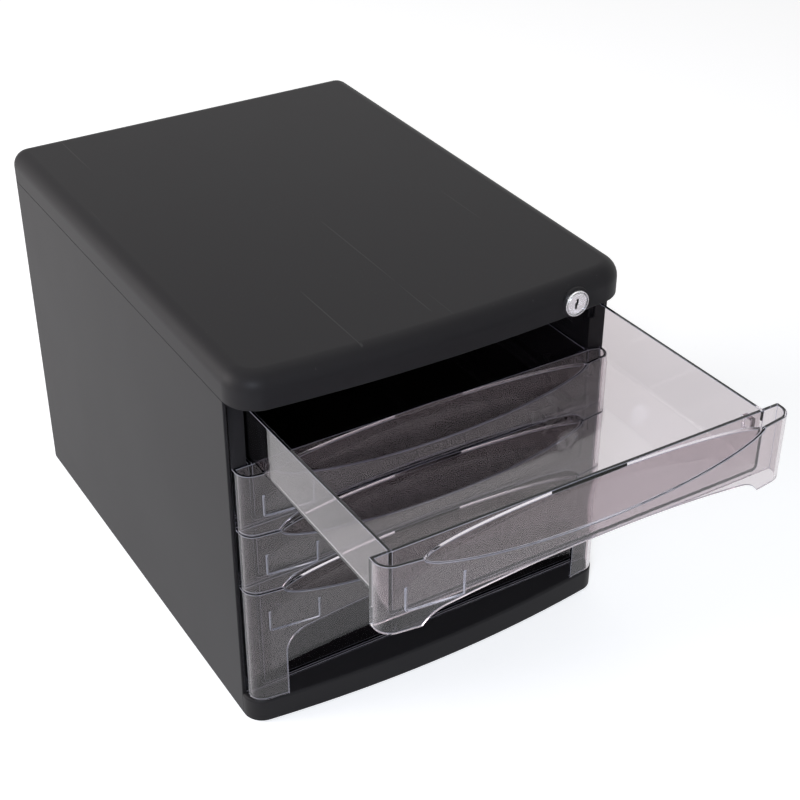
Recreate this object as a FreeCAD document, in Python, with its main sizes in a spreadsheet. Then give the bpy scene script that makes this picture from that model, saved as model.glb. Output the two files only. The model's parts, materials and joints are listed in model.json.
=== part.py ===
import FreeCAD, Part
import math
import os

import Sketcher
from FreeCAD import Placement, Rotation, Vector

# Desktop file drawer: a black cabinet with four clear drawers and one lock for all of them.
# X runs across, the front faces -Y and Z is up. The origin lies on the table, in the middle of
# the ground that the drawer covers with its top drawer pulled out.

# Driving dimensions, in millimetres
SIZES = {
    # Cabinet
    "body_width": 265.0,
    "body_depth": 335.0,
    "side_wall": 3.0,
    "back_corner_radius": 11.5,
    "back_return": 1.0,
    "flange_wall": 2.2,
    "skirt_gap": 1.5,
    "cabinet_fit": 0.3,
    # Drawer stack, from the plinth up
    "plinth_top": 18.2,
    "plinth_gap": 0.8,
    "deep_height": 84.0,
    "shallow_height": 42.0,
    "drawer_gap": 1.0,
    "stack_gap": 2.5,
    "front_gap": 0.3,
    "top_drawer_pull": 153.3,
    "drawer_travel": 220.0,
    # Top cover
    "cover_height": 21.5,
    "cover_wall": 3.0,
    "cover_side_overhang": 18.0,
    "cover_bow_rise": 7.7,
    "cover_corner_radius": 21.0,
    "cover_edge_radius": 11.0,
    "cover_corner_flat": 0.2,
    # Back panel
    "back_wall": 3.0,
    "back_lap": 2.0,
    "lap_width": 10.0,
    "lap_wall": 3.0,
    # Base and feet
    "floor_level": 6.0,
    "floor_thickness": 2.5,
    "rim_wall": 2.5,
    "plinth_wall": 2.5,
    "plinth_corner_radius": 13.0,
    "plinth_edge_radius": 2.0,
    "foot_diameter": 14.0,
    "foot_height": 3.0,
    "foot_bevel": 0.8,
    "foot_fit": 0.15,
    "foot_boss_wall": 2.85,
    "foot_side_inset": 22.5,
    "foot_end_inset": 27.5,
    # Drawer face
    "face_side_inset": 2.5,
    "face_side_depth": 12.2,
    "face_bow_rise": 9.6,
    "face_corner_radius": 9.5,
    "face_wall": 2.0,
    "front_wall": 2.2,
    "scoop_end_inset": 22.0,
    "scoop_depth": 13.0,
    "scoop_sheet": 2.4,
    "arch_crown_depth": 22.5,
    "arch_shoulder_rise": 9.0,
    "arch_shoulder_width": 13.5,
    "arch_leg_width": 21.5,
    "deep_crown_depth": 23.5,
    "deep_shoulder_drop": 10.5,
    "deep_leg_width": 22.5,
    "label_inset": 12.0,
    "label_width": 32.5,
    "label_height": 15.0,
    "label_top_depth": 14.5,
    "label_line": 1.0,
    "label_proud": 0.8,
    # Drawer tray
    "tray_side_room": 10.1,
    "tray_rear_room": 15.8,
    "tray_wall": 2.0,
    "tray_floor": 2.5,
    "tray_lift": 2.0,
    "tray_radius": 3.0,
    "rim_drop": 0.5,
    "rim_fall": 8.0,
    # Runners, stops and lock lugs
    "shelf_bearing": 5.4,
    "shelf_thickness": 2.2,
    "shelf_front_inset": 39.5,
    "shelf_end_inset": 2.0,
    "runner_gap": 0.3,
    "guide_gap": 0.4,
    "guide_thickness": 2.0,
    "guide_height": 4.0,
    "stop_rise": 6.0,
    "stop_height": 8.0,
    "stop_length": 5.0,
    "stop_setback": 17.5,
    "stop_side_gap": 0.8,
    "stop_gap": 0.3,
    "lug_reach": 4.1,
    "lock_lug_rise": 20.0,
    "lock_lug_height": 8.0,
    "lock_lug_length": 6.0,
    "lock_lug_gap": 1.5,
    "lug_way_gap": 0.5,
    # Screws and what they bite into
    "screw_diameter": 3.0,
    "screw_fit": 0.1,
    "screw_head_diameter": 5.6,
    "screw_head_height": 1.8,
    "screw_drive_width": 0.9,
    "screw_drive_span": 3.0,
    "screw_drive_depth": 1.0,
    "screw_bite": 8.0,
    "screw_tip_room": 1.0,
    "head_recess_fit": 0.4,
    "case_screw_end_inset": 47.5,
    "tab_thickness": 3.0,
    "tab_width": 12.0,
    "boss_diameter": 8.0,
    "block_height": 7.5,
    "base_screw_bite": 6.0,
    "back_screw_inset": 52.5,
    "back_block_width": 10.0,
    "back_block_depth": 9.5,
    "back_block_hang": 9.5,
    "back_block_rise": 11.5,
    "back_screw_bite": 6.5,
    # Lock
    "lock_inset": 43.5,
    "lock_headroom": 1.5,
    "pad_margin": 1.55,
    "pad_proud": 0.5,
    "seat_boss": 4.6,
    "ring_lip": 1.2,
    "ring_thickness": 2.0,
    "ring_bevel": 0.6,
    "barrel_wall": 1.5,
    "barrel_fit": 0.15,
    "plug_diameter": 11.0,
    "plug_fit": 0.05,
    "plug_recess": 0.2,
    "keyway_width": 1.5,
    "keyway_height": 6.6,
    "keyway_jog": 0.9,
    "keyway_depth": 14.0,
    "nut_wall": 1.5,
    "nut_thickness": 4.0,
    "nut_fit": 0.1,
    "cam_gap": 0.3,
    "cam_diameter": 12.0,
    "cam_thickness": 3.5,
    "tail_width": 4.0,
    "tail_length": 2.5,
    "tail_fit": 0.05,
    "cross_pin_diameter": 1.2,
    "cross_pin_inset": 0.2,
    "eccentric_diameter": 3.0,
    "eccentric_proud": 0.7,
    # Lock bar and its guides
    "bar_thickness": 1.5,
    "bar_tray_gap": 1.6,
    "bar_gap": 0.3,
    "bar_leg_width": 4.0,
    "bar_wall_gap": 1.7,
    "bar_leg_foot": 5.0,
    "bar_arm_height": 10.7,
    "bar_arm_end": 4.7,
    "slot_sill": 1.4,
    "cam_bar_gap": 3.3,
    "saddle_offset": 17.0,
    "saddle_width": 8.0,
    "saddle_wall": 1.6,
    "keeper_thickness": 1.5,
    "keeper_margin": 1.0,
    "keeper_screw_reach": 9.0,
    "keeper_boss_diameter": 7.0,
    "foot_guide_wall": 1.9,
    "foot_guide_rise": 8.3,
    "foot_guide_bite": 9.0,
}

doc = FreeCAD.newDocument("desktop_file_drawer")
dims = doc.addObject("Spreadsheet::Sheet", "dims")
for row, (alias, number) in enumerate(SIZES.items(), start=1):
    dims.set(f"A{row}", alias.replace("_", " "))
    dims.set(f"B{row}", str(number))
    dims.setAlias(f"B{row}", alias)
doc.recompute()


class Size:
    """A length worked out from the sheet, kept as the formula that objects are bound to."""

    def __init__(self, text):
        self.text = str(text)

    @property
    def mm(self):
        return float(dims.evalExpression(self.text))

    def __add__(self, other):
        return Size(f"({self.text} + {formula(other)})")

    def __radd__(self, other):
        return Size(f"({formula(other)} + {self.text})")

    def __sub__(self, other):
        return Size(f"({self.text} - {formula(other)})")

    def __rsub__(self, other):
        return Size(f"({formula(other)} - {self.text})")

    def __mul__(self, other):
        return Size(f"({self.text} * {formula(other)})")

    def __truediv__(self, other):
        return Size(f"({self.text} / {formula(other)})")

    def __neg__(self):
        return Size(f"(0 - {self.text})")


def formula(length):
    return length.text if isinstance(length, Size) else str(length)


def size(name):
    return Size(f"dims.{name}")


def root(length):
    return Size(f"sqrt({formula(length)})")


def least(first, second):
    return Size(f"min({formula(first)}; {formula(second)})")


def bow_radius(half, rise):
    """Radius of a bow that falls back by rise at half from its middle."""
    return (half * half + rise * rise) / (rise * 2)


def sag(radius, x):
    """How far a bow of this radius falls back at x from its middle."""
    return radius - root(radius * radius - x * x)


# How far a cutter runs past the face that it opens, and what still counts as the same place
PAST = 1.0
SAME = 1e-3

# Planes and levels that the pieces share
HALF_WIDTH = size("body_width") / 2
FACE_BOW = size("face_side_depth") + size("face_bow_rise")
OPEN_REACH = size("front_gap") + size("top_drawer_pull") + FACE_BOW
FRONT = (OPEN_REACH - size("body_depth")) / 2
BACK = FRONT + size("body_depth")
WALL_INSIDE = HALF_WIDTH - size("side_wall")
RETURN_END = HALF_WIDTH - size("back_corner_radius") - size("back_return")
FLOOR_TOP = size("floor_level") + size("floor_thickness")

DEEP_BOTTOM = size("plinth_top") + size("plinth_gap")
THIRD_BOTTOM = DEEP_BOTTOM + size("deep_height") + size("drawer_gap")
SECOND_BOTTOM = THIRD_BOTTOM + size("shallow_height") + size("drawer_gap")
TOP_BOTTOM = SECOND_BOTTOM + size("shallow_height") + size("drawer_gap")
PANEL_TOP = TOP_BOTTOM + size("shallow_height") + size("stack_gap")
COVER_TOP = PANEL_TOP + size("cover_height")
DRAWER_BOTTOMS = [TOP_BOTTOM, SECOND_BOTTOM, THIRD_BOTTOM, DEEP_BOTTOM]

TRAY_HALF = WALL_INSIDE - size("tray_side_room")
TRAY_FRONT = FRONT - size("front_gap")
TRAY_REAR = BACK - size("tray_rear_room")
FACE_HALF = HALF_WIDTH - size("face_side_inset")
FACE_BOW_RADIUS = bow_radius(FACE_HALF, size("face_bow_rise"))
BLOCK_INSIDE = TRAY_HALF + size("stop_side_gap")

SCREW_RADIUS = size("screw_diameter") / 2
SCREW_HOLE_RADIUS = SCREW_RADIUS + size("screw_fit")
CASE_SCREW_X = (BLOCK_INSIDE + WALL_INSIDE) / 2
CASE_SCREW_YS = [FRONT + size("case_screw_end_inset"), BACK - size("case_screw_end_inset")]
BACK_SCREW_X = HALF_WIDTH - size("back_screw_inset")
BACK_FACE = BACK - size("back_wall")
BACK_SCREW_TOP = PANEL_TOP - size("back_block_hang") / 2
BACK_SCREW_LOW = FLOOR_TOP + size("back_block_rise") / 2

COVER_FRONT = FRONT - size("cover_side_overhang") - size("cover_bow_rise")
COVER_BOW_RADIUS = bow_radius(HALF_WIDTH, size("cover_bow_rise"))
BARREL_RADIUS = size("plug_diameter") / 2 + size("barrel_wall")
RING_RADIUS = BARREL_RADIUS + size("ring_lip")
PAD_RADIUS = RING_RADIUS + size("pad_margin")
NUT_HALF = BARREL_RADIUS + size("nut_wall")
LOCK_X = HALF_WIDTH - size("lock_inset")
LOCK_Z = COVER_TOP - size("cover_wall") - size("lock_headroom") - NUT_HALF
PAD_FACE = COVER_FRONT + sag(COVER_BOW_RADIUS, LOCK_X) - size("pad_proud")
SEAT_FACE = PAD_FACE + size("pad_proud") + size("cover_wall") + size("seat_boss")

FLANGE_BACK = FRONT + size("flange_wall")
GUIDE_FRONT = FLANGE_BACK + size("cabinet_fit")
BAR_FRONT = GUIDE_FRONT + size("foot_guide_wall") + size("bar_gap")
BAR_BACK = BAR_FRONT + size("bar_thickness")
BAR_MIDDLE = BAR_FRONT + size("bar_thickness") / 2
CAM_BACK = BAR_FRONT - size("cam_bar_gap")
CAM_FACE = CAM_BACK - size("cam_thickness")
BARREL_END = CAM_FACE - size("cam_gap")
LEG_OUTSIDE = WALL_INSIDE - size("bar_wall_gap")
LEG_INSIDE = LEG_OUTSIDE - size("bar_leg_width")
LEG_FOOT = DEEP_BOTTOM + size("bar_leg_foot")
LUG_END = LEG_INSIDE - size("bar_gap")

# The eccentric swings a quarter turn below the lock axis and draws the bar across by its throw
BAR_THROW = LEG_INSIDE - TRAY_HALF - size("bar_tray_gap")
ECCENTRIC_X = LOCK_X + BAR_THROW / 2
ECCENTRIC_Z = LOCK_Z - BAR_THROW / 2
SLOT_HALF = size("eccentric_diameter") / 2 + size("bar_gap")
SLOT_LOW = LOCK_Z - BAR_THROW / root(2) - SLOT_HALF
ARM_LOW = SLOT_LOW - size("slot_sill")
ARM_TOP = ARM_LOW + size("bar_arm_height")
SADDLE_X = LOCK_X + size("saddle_offset")
KEEPER_TOP = ARM_LOW - size("bar_gap")
KEEPER_LOW = KEEPER_TOP - size("keeper_thickness")
KEEPER_SCREW_YS = [BAR_MIDDLE - size("keeper_screw_reach"), BAR_MIDDLE + size("keeper_screw_reach")]
GUIDE_BACK = BAR_BACK + size("bar_gap") + size("foot_guide_wall")
GUIDE_OUTSIDE = WALL_INSIDE - size("cabinet_fit")
GUIDE_SCREW_X = (BLOCK_INSIDE + GUIDE_OUTSIDE) / 2

nodes = {}


# Helpers that make objects bound to the sheet
def bind(thing, bindings):
    for property_name, length in bindings.items():
        thing.setExpression(property_name, formula(length))


def box(name, x_range, y_range, z_range):
    block = doc.addObject("Part::Box", name)
    (x0, x1), (y0, y1), (z0, z1) = x_range, y_range, z_range
    bind(block, {"Placement.Base.x": x0, "Placement.Base.y": y0, "Placement.Base.z": z0})
    bind(block, {"Length": x1 - x0, "Width": y1 - y0, "Height": z1 - z0})
    return block


TURNS = {"x": Rotation(Vector(0, 1, 0), 90), "y": Rotation(Vector(1, 0, 0), -90), "z": Rotation()}


def cylinder(name, axis, base, radius, length):
    """Round bar from its base point along +X, +Y or +Z."""
    bar = doc.addObject("Part::Cylinder", name)
    bar.Placement = Placement(Vector(), TURNS[axis])
    bind(bar, {"Placement.Base.x": base[0], "Placement.Base.y": base[1], "Placement.Base.z": base[2]})
    bind(bar, {"Radius": radius, "Height": length})
    return bar


def fuse(name, pieces):
    joined = doc.addObject("Part::MultiFuse", name)
    joined.Shapes = pieces
    joined.Refine = True
    return joined


def common(name, pieces):
    shared = doc.addObject("Part::MultiCommon", name)
    shared.Shapes = pieces
    return shared


def cut(name, base, tools):
    removed = tools[0] if len(tools) == 1 else fuse(f"{name}_tools", tools)
    result = doc.addObject("Part::Cut", name)
    result.Base = base
    result.Tool = removed
    result.Refine = True
    return result


def group(name, pieces):
    gathered = doc.addObject("Part::Compound", name)
    gathered.Links = pieces
    return gathered


def new_body(name, x=0, y=0, z=0):
    body = doc.addObject("PartDesign::Body", name)
    bind(body, {"Placement.Base.x": x, "Placement.Base.y": y, "Placement.Base.z": z})
    return body


def outline(body, name, plane, corners, bow=None):
    """Closed sketch through bound corners; bow = (corner index, radius) curves that side outwards."""
    sketch = body.newObject("Sketcher::SketchObject", name)
    plane_object = next(item for item in body.Origin.OriginFeatures if item.Role == plane)
    sketch.AttachmentSupport = [(plane_object, "")]
    sketch.MapMode = "FlatFace"
    points = [Vector(Size(formula(x)).mm, Size(formula(y)).mm, 0) for x, y in corners]
    count = len(points)
    for index in range(count):
        start, end = points[index], points[(index + 1) % count]
        if bow and bow[0] == index:
            middle = (start + end) / 2
            normal = Vector(end.y - start.y, start.x - end.x, 0).normalize()
            half_chord = (end - start).Length / 2
            height = bow[1].mm - math.sqrt(bow[1].mm ** 2 - half_chord ** 2)
            arc = Part.Arc(start, middle + normal * height, end)
            sketch.addGeometry(arc, False)
        else:
            sketch.addGeometry(Part.LineSegment(start, end), False)

    def end_of(index, point):
        return 1 if (sketch.Geometry[index].StartPoint - point).Length < 1e-6 else 2

    for index in range(count):
        point = points[index]
        before = (index - 1) % count
        here = (index, end_of(index, point))
        sketch.addConstraint(Sketcher.Constraint("Coincident", before, end_of(before, point), *here))
        for kind, length in (("DistanceX", corners[index][0]), ("DistanceY", corners[index][1])):
            value = Size(formula(length)).mm
            number = sketch.addConstraint(Sketcher.Constraint(kind, -1, 1, *here, value))
            sketch.setExpression(f"Constraints[{number}]", formula(length))
    if bow:
        number = sketch.addConstraint(Sketcher.Constraint("Radius", bow[0], bow[1].mm))
        sketch.setExpression(f"Constraints[{number}]", formula(bow[1]))
    return sketch


def pad(body, name, sketch, length):
    feature = body.newObject("PartDesign::Pad", name)
    feature.Profile = sketch
    bind(feature, {"Length": length})
    sketch.Visibility = False
    doc.recompute()
    return feature


def revolve(body, name, sketch):
    """Full turn of a sketch about its own vertical axis."""
    feature = body.newObject("PartDesign::Revolution", name)
    feature.Profile = sketch
    feature.ReferenceAxis = (sketch, ["V_Axis"])
    feature.Angle = 360
    doc.recompute()
    return feature


def fillet(body, name, base, chosen, radius):
    """Rounds the edges of base that the test picks."""
    names = [f"Edge{i}" for i, edge in enumerate(base.Shape.Edges, start=1) if chosen(edge)]
    feature = body.newObject("PartDesign::Fillet", name)
    feature.Base = (base, names)
    bind(feature, {"Radius": radius})
    doc.recompute()
    return feature


def is_upright(edge):
    low, high = edge.BoundBox.ZMin, edge.BoundBox.ZMax
    return high - low > SAME and edge.BoundBox.XLength < SAME and edge.BoundBox.YLength < SAME


def node(name, thing):
    """Names a finished piece and counts it among those that are written out."""
    thing.Label = name
    nodes[name] = thing
    return thing


# Screws
def screw(name, axis, head_end, direction, reach):
    """Pan head screw: head_end is the underside of its head, and the shank runs reach further."""
    sign = 1 if direction > 0 else -1
    coordinate = {"x": 0, "y": 1, "z": 2}[axis]
    head_height = size("screw_head_height")
    shank_base = list(head_end)
    head_base = list(head_end)
    drive_base = list(head_end)
    if sign > 0:
        head_base[coordinate] = head_end[coordinate] - head_height
        drive_base[coordinate] = head_base[coordinate]
    else:
        shank_base[coordinate] = head_end[coordinate] - reach
        drive_base[coordinate] = head_end[coordinate] + head_height - size("screw_drive_depth")
    shank = cylinder(f"{name}_shank", axis, shank_base, SCREW_RADIUS, reach)
    head = cylinder(f"{name}_head", axis, head_base, size("screw_head_diameter") / 2, head_height)
    wings = []
    for number, across in enumerate(i for i in range(3) if i != coordinate):
        ranges = [(drive_base[i] - size("screw_drive_width") / 2,
                   drive_base[i] + size("screw_drive_width") / 2) for i in range(3)]
        ranges[across] = (drive_base[across] - size("screw_drive_span") / 2,
                          drive_base[across] + size("screw_drive_span") / 2)
        ranges[coordinate] = (drive_base[coordinate], drive_base[coordinate] + size("screw_drive_depth"))
        wings.append(box(f"{name}_drive_{number}", *ranges))
    return cut(name, fuse(f"{name}_blank", [shank, head]), wings)


def screw_hole(name, axis, start, length):
    return cylinder(name, axis, start, SCREW_HOLE_RADIUS, length)


# Top cover
def bowed_block(name, half, rear, front, bow_radius, corners, edge_radius, height, z):
    """Block with a bowed front, rounded upright corners and a rounded top edge."""
    body = new_body(name, z=z)
    corner_y = front + sag(bow_radius, half)
    plan = [(-half, rear), (-half, corner_y), (half, corner_y), (half, rear)]
    sketch = outline(body, f"{name}_plan", "XY_Plane", plan, bow=(1, bow_radius))
    feature = pad(body, f"{name}_pad", sketch, height)
    front_radius, back_radius = corners
    middle = (rear.mm + front.mm) / 2
    top = height.mm

    def at_front(edge):
        return is_upright(edge) and edge.CenterOfMass.y < middle

    def at_back(edge):
        return is_upright(edge) and edge.CenterOfMass.y > middle

    def on_top(edge):
        open_back = back_radius is None and edge.BoundBox.YLength < SAME
        return edge.BoundBox.ZMin > top - SAME and not open_back

    feature = fillet(body, f"{name}_front_corners", feature, at_front, front_radius)
    if back_radius is not None:
        feature = fillet(body, f"{name}_back_corners", feature, at_back, back_radius)
    if edge_radius is not None:
        feature = fillet(body, f"{name}_top_edge", feature, on_top, edge_radius)
    body.Tip = feature
    doc.recompute()
    return body


def make_top_cover():
    wall = size("cover_wall")
    edge = least(size("cover_edge_radius"), size("back_corner_radius") - size("cover_corner_flat"))
    bow = COVER_BOW_RADIUS
    outer_corners = (size("cover_corner_radius"), size("back_corner_radius"))
    inner_corners = (size("cover_corner_radius") - wall, size("back_corner_radius") - wall)
    outer = bowed_block("cover_outside", HALF_WIDTH, BACK, COVER_FRONT, bow, outer_corners, edge,
                        size("cover_height"), PANEL_TOP)
    inner = bowed_block("cover_inside", HALF_WIDTH - wall, BACK - wall, COVER_FRONT + wall,
                        bow - wall, inner_corners, edge - wall, size("cover_height") - wall,
                        PANEL_TOP)
    top = COVER_TOP - wall / 2
    filling = []
    holes = []
    for side, sign in (("left", -1), ("right", 1)):
        for end, y in zip(("front", "rear"), CASE_SCREW_YS):
            x = CASE_SCREW_X * sign
            base = (x, y, PANEL_TOP)
            filling.append(cylinder(f"cover_boss_{side}_{end}", "z", base,
                                    size("boss_diameter") / 2, top - PANEL_TOP))
            depth = size("screw_bite") + size("screw_tip_room")
            holes.append(screw_hole(f"cover_boss_hole_{side}_{end}", "z", base, depth))
    for number, y in enumerate(KEEPER_SCREW_YS):
        base = (SADDLE_X, y, KEEPER_TOP)
        filling.append(cylinder(f"keeper_boss_{number}", "z", base,
                                size("keeper_boss_diameter") / 2, top - KEEPER_TOP))
        holes.append(screw_hole(f"keeper_boss_hole_{number}", "z", base,
                                size("screw_bite") + size("screw_tip_room")))
    half_saddle = size("saddle_width") / 2
    saddle_y = (BAR_FRONT - size("bar_gap") - size("saddle_wall"),
                BAR_BACK + size("bar_gap") + size("saddle_wall"))
    filling.append(box("saddle", (SADDLE_X - half_saddle, SADDLE_X + half_saddle), saddle_y,
                       (KEEPER_TOP, top)))
    holes.append(box("saddle_slot", (SADDLE_X - size("saddle_width"), SADDLE_X + size("saddle_width")),
                     (BAR_FRONT - size("bar_gap"), BAR_BACK + size("bar_gap")),
                     (PANEL_TOP, ARM_TOP + size("bar_gap"))))
    hanging = []
    for side, sign in (("left", -1), ("right", 1)):
        x = BACK_SCREW_X * sign
        block_x = (x - size("back_block_width") / 2, x + size("back_block_width") / 2)
        block_y = (BACK_FACE - size("back_block_depth"), BACK_FACE)
        filling.append(box(f"cover_back_block_{side}", block_x, block_y, (PANEL_TOP, top)))
        hanging.append(box(f"cover_back_foot_{side}", block_x, block_y,
                           (PANEL_TOP - size("back_block_hang"), PANEL_TOP + wall)))
        holes.append(screw_hole(f"cover_back_hole_{side}", "y",
                                (x, BACK_FACE - size("back_screw_bite") - size("screw_tip_room"),
                                 BACK_SCREW_TOP),
                                size("back_screw_bite") + size("screw_tip_room") * 2))
    lock_axis = (LOCK_X, PAD_FACE + size("pad_proud"), LOCK_Z)
    filling.append(cylinder("lock_seat", "y", lock_axis, PAD_RADIUS, wall + size("seat_boss")))
    inside = common("cover_filling", [fuse("cover_filling_pieces", filling), outer])

    pad_disc = cylinder("lock_pad_disc", "y", (LOCK_X, PAD_FACE, LOCK_Z), PAD_RADIUS,
                        size("pad_proud") + wall / 2)
    pad_limit = box("lock_pad_limit", (LOCK_X - PAD_RADIUS * 2, LOCK_X + PAD_RADIUS * 2),
                    (PAD_FACE - wall, PAD_FACE + wall), (PANEL_TOP, COVER_TOP))
    lock_pad = common("lock_pad", [pad_disc, pad_limit])
    holes.append(cylinder("lock_hole", "y", (LOCK_X, PAD_FACE - wall, LOCK_Z),
                          BARREL_RADIUS + size("barrel_fit"), SEAT_FACE - PAD_FACE + wall * 2))

    holes.append(cylinder("lock_spot_face", "y", (LOCK_X, PAD_FACE - wall, LOCK_Z), PAD_RADIUS, wall))
    skin = cut("cover_skin", outer, [inner])
    whole = fuse("cover_whole", [skin, inside, lock_pad] + hanging)
    node("top_cover", cut("cover_finished", whole, holes))


# Side panels
def make_side_panels():
    wall = size("side_wall")
    body = new_body("panel_wall", z=size("skirt_gap"))
    plan = [(HALF_WIDTH, FRONT), (HALF_WIDTH, BACK), (RETURN_END, BACK), (RETURN_END, BACK - wall),
            (WALL_INSIDE, BACK - wall), (WALL_INSIDE, FRONT)]
    sketch = outline(body, "panel_wall_plan", "XY_Plane", plan)
    feature = pad(body, "panel_wall_pad", sketch, PANEL_TOP - size("skirt_gap"))
    half, inside = HALF_WIDTH.mm, WALL_INSIDE.mm
    middle = (FRONT.mm + BACK.mm) / 2

    def outer_corner(edge):
        at_side = abs(edge.CenterOfMass.x - half) < SAME
        return is_upright(edge) and at_side and edge.CenterOfMass.y > middle

    def inner_corner(edge):
        at_wall = abs(edge.CenterOfMass.x - inside) < SAME
        return is_upright(edge) and at_wall and edge.CenterOfMass.y > middle

    feature = fillet(body, "panel_outer_corner", feature, outer_corner, size("back_corner_radius"))
    inner_radius = size("back_corner_radius") - wall
    feature = fillet(body, "panel_inner_corner", feature, inner_corner, inner_radius)
    body.Tip = feature
    pieces = [body, box("front_flange", (BLOCK_INSIDE, WALL_INSIDE), (FRONT, FLANGE_BACK),
                        (FLOOR_TOP + size("cabinet_fit"), PANEL_TOP))]
    lug_ways = []
    for number, bottom in enumerate(DRAWER_BOTTOMS, start=1):
        tray_bottom = bottom + size("tray_lift")
        shelf_top = tray_bottom - size("runner_gap")
        shelf_y = (FRONT + size("shelf_front_inset"), TRAY_REAR - size("shelf_end_inset"))
        pieces.append(box(f"shelf_{number}", (TRAY_HALF - size("shelf_bearing"), WALL_INSIDE),
                          shelf_y, (shelf_top - size("shelf_thickness"), shelf_top)))
        guide_x = TRAY_HALF + size("guide_gap")
        pieces.append(box(f"guide_{number}", (guide_x, guide_x + size("guide_thickness")),
                          shelf_y, (shelf_top, shelf_top + size("guide_height"))))
        stop_y = FRONT + size("stop_setback")
        stop_z = tray_bottom + size("stop_rise")
        pieces.append(box(f"stop_block_{number}", (BLOCK_INSIDE, WALL_INSIDE),
                          (stop_y, stop_y + size("stop_length")),
                          (stop_z, stop_z + size("stop_height"))))
        way_low = tray_bottom + size("lock_lug_rise") - size("lug_way_gap")
        way_height = size("lock_lug_height") + size("lug_way_gap") * 2
        lug_ways.append(box(f"lug_way_{number}", (BLOCK_INSIDE - PAST, LUG_END + size("lug_way_gap")),
                            (FRONT - PAST, FLANGE_BACK + PAST), (way_low, way_low + way_height)))
    holes = []
    for end, y in zip(("front", "rear"), CASE_SCREW_YS):
        half_tab = size("tab_width") / 2
        tab_low = PANEL_TOP - size("tab_thickness")
        pieces.append(box(f"top_tab_{end}", (BLOCK_INSIDE, WALL_INSIDE),
                          (y - half_tab, y + half_tab), (tab_low, PANEL_TOP)))
        holes.append(screw_hole(f"top_tab_hole_{end}", "z",
                                (CASE_SCREW_X, y, tab_low - size("screw_tip_room")),
                                size("tab_thickness") + size("screw_tip_room") * 2))
        pieces.append(box(f"low_block_{end}", (BLOCK_INSIDE, WALL_INSIDE),
                          (y - half_tab, y + half_tab),
                          (FLOOR_TOP, FLOOR_TOP + size("block_height"))))
        holes.append(screw_hole(f"low_block_hole_{end}", "z",
                                (CASE_SCREW_X, y, FLOOR_TOP - size("screw_tip_room")),
                                size("base_screw_bite") + size("screw_tip_room") * 2))
    plain = cut("panel_plain", fuse("panel_pieces", pieces), holes)
    left = doc.addObject("Part::Mirroring", "panel_left")
    left.Source = plain
    left.Normal = (1, 0, 0)
    node("left_side_panel", left)
    node("right_side_panel", cut("panel_right", plain, lug_ways))


# Back panel
def make_back_panel():
    fit = size("cabinet_fit")
    edge = RETURN_END - fit
    lap = RETURN_END + size("back_lap")
    lap_face = BACK - size("side_wall") - fit
    lap_front = lap_face - size("lap_wall")
    right = [(edge, BACK), (edge, lap_face), (lap, lap_face), (lap, lap_front),
             (lap - size("lap_width"), lap_front), (lap - size("lap_width"), BACK_FACE)]
    left = [(-x, y) for x, y in reversed(right)]
    low = FLOOR_TOP + fit
    body = new_body("back_wall", z=low)
    sketch = outline(body, "back_wall_plan", "XY_Plane", right + left)
    body.Tip = pad(body, "back_wall_pad", sketch, PANEL_TOP - fit - low)
    holes = []
    recess_radius = size("screw_head_diameter") / 2 + size("head_recess_fit")
    for number, (x, z) in enumerate(back_screw_places()):
        holes.append(screw_hole(f"back_hole_{number}", "y",
                                (x, BACK_FACE - size("screw_tip_room"), z),
                                size("back_wall") + size("screw_tip_room") * 2))
        holes.append(cylinder(f"back_recess_{number}", "y", (x, BACK - size("screw_head_height"), z),
                              recess_radius, size("screw_head_height") + size("screw_tip_room")))
    node("back_panel", cut("back_finished", body, holes))


def back_screw_places():
    return [(BACK_SCREW_X * sign, z) for z in (BACK_SCREW_TOP, BACK_SCREW_LOW) for sign in (-1, 1)]


# Base and feet
def foot_places():
    x = HALF_WIDTH - size("foot_side_inset")
    front = FRONT + size("foot_end_inset")
    rear = BACK - size("foot_end_inset")
    return {"foot_front_left": (-x, front), "foot_front_right": (x, front),
            "foot_rear_left": (-x, rear), "foot_rear_right": (x, rear)}


def floor_block(name, inset, z_range):
    """Plan of the base inside the side panels, drawn in by inset."""
    side = WALL_INSIDE - size("cabinet_fit") - inset
    step = RETURN_END - size("cabinet_fit") - inset
    shoulder = BACK - size("back_corner_radius") - size("cabinet_fit") - inset
    front = FRONT - size("plinth_wall") / 2 + inset
    rear = BACK - inset
    plan = [(side, front), (side, shoulder), (step, shoulder), (step, rear),
            (-step, rear), (-step, shoulder), (-side, shoulder), (-side, front)]
    body = new_body(name, z=z_range[0])
    sketch = outline(body, f"{name}_plan", "XY_Plane", plan)
    body.Tip = pad(body, f"{name}_pad", sketch, z_range[1] - z_range[0])
    return body


def sunk_hole(name, x, y):
    """Screw hole up through the floor, with room for the head in the rim below it."""
    head_radius = size("screw_head_diameter") / 2 + size("head_recess_fit")
    below = size("skirt_gap") - size("screw_tip_room")
    return [screw_hole(name, "z", (x, y, below), FLOOR_TOP),
            cylinder(f"{name}_room", "z", (x, y, below), head_radius, size("floor_level") - below)]


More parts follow.
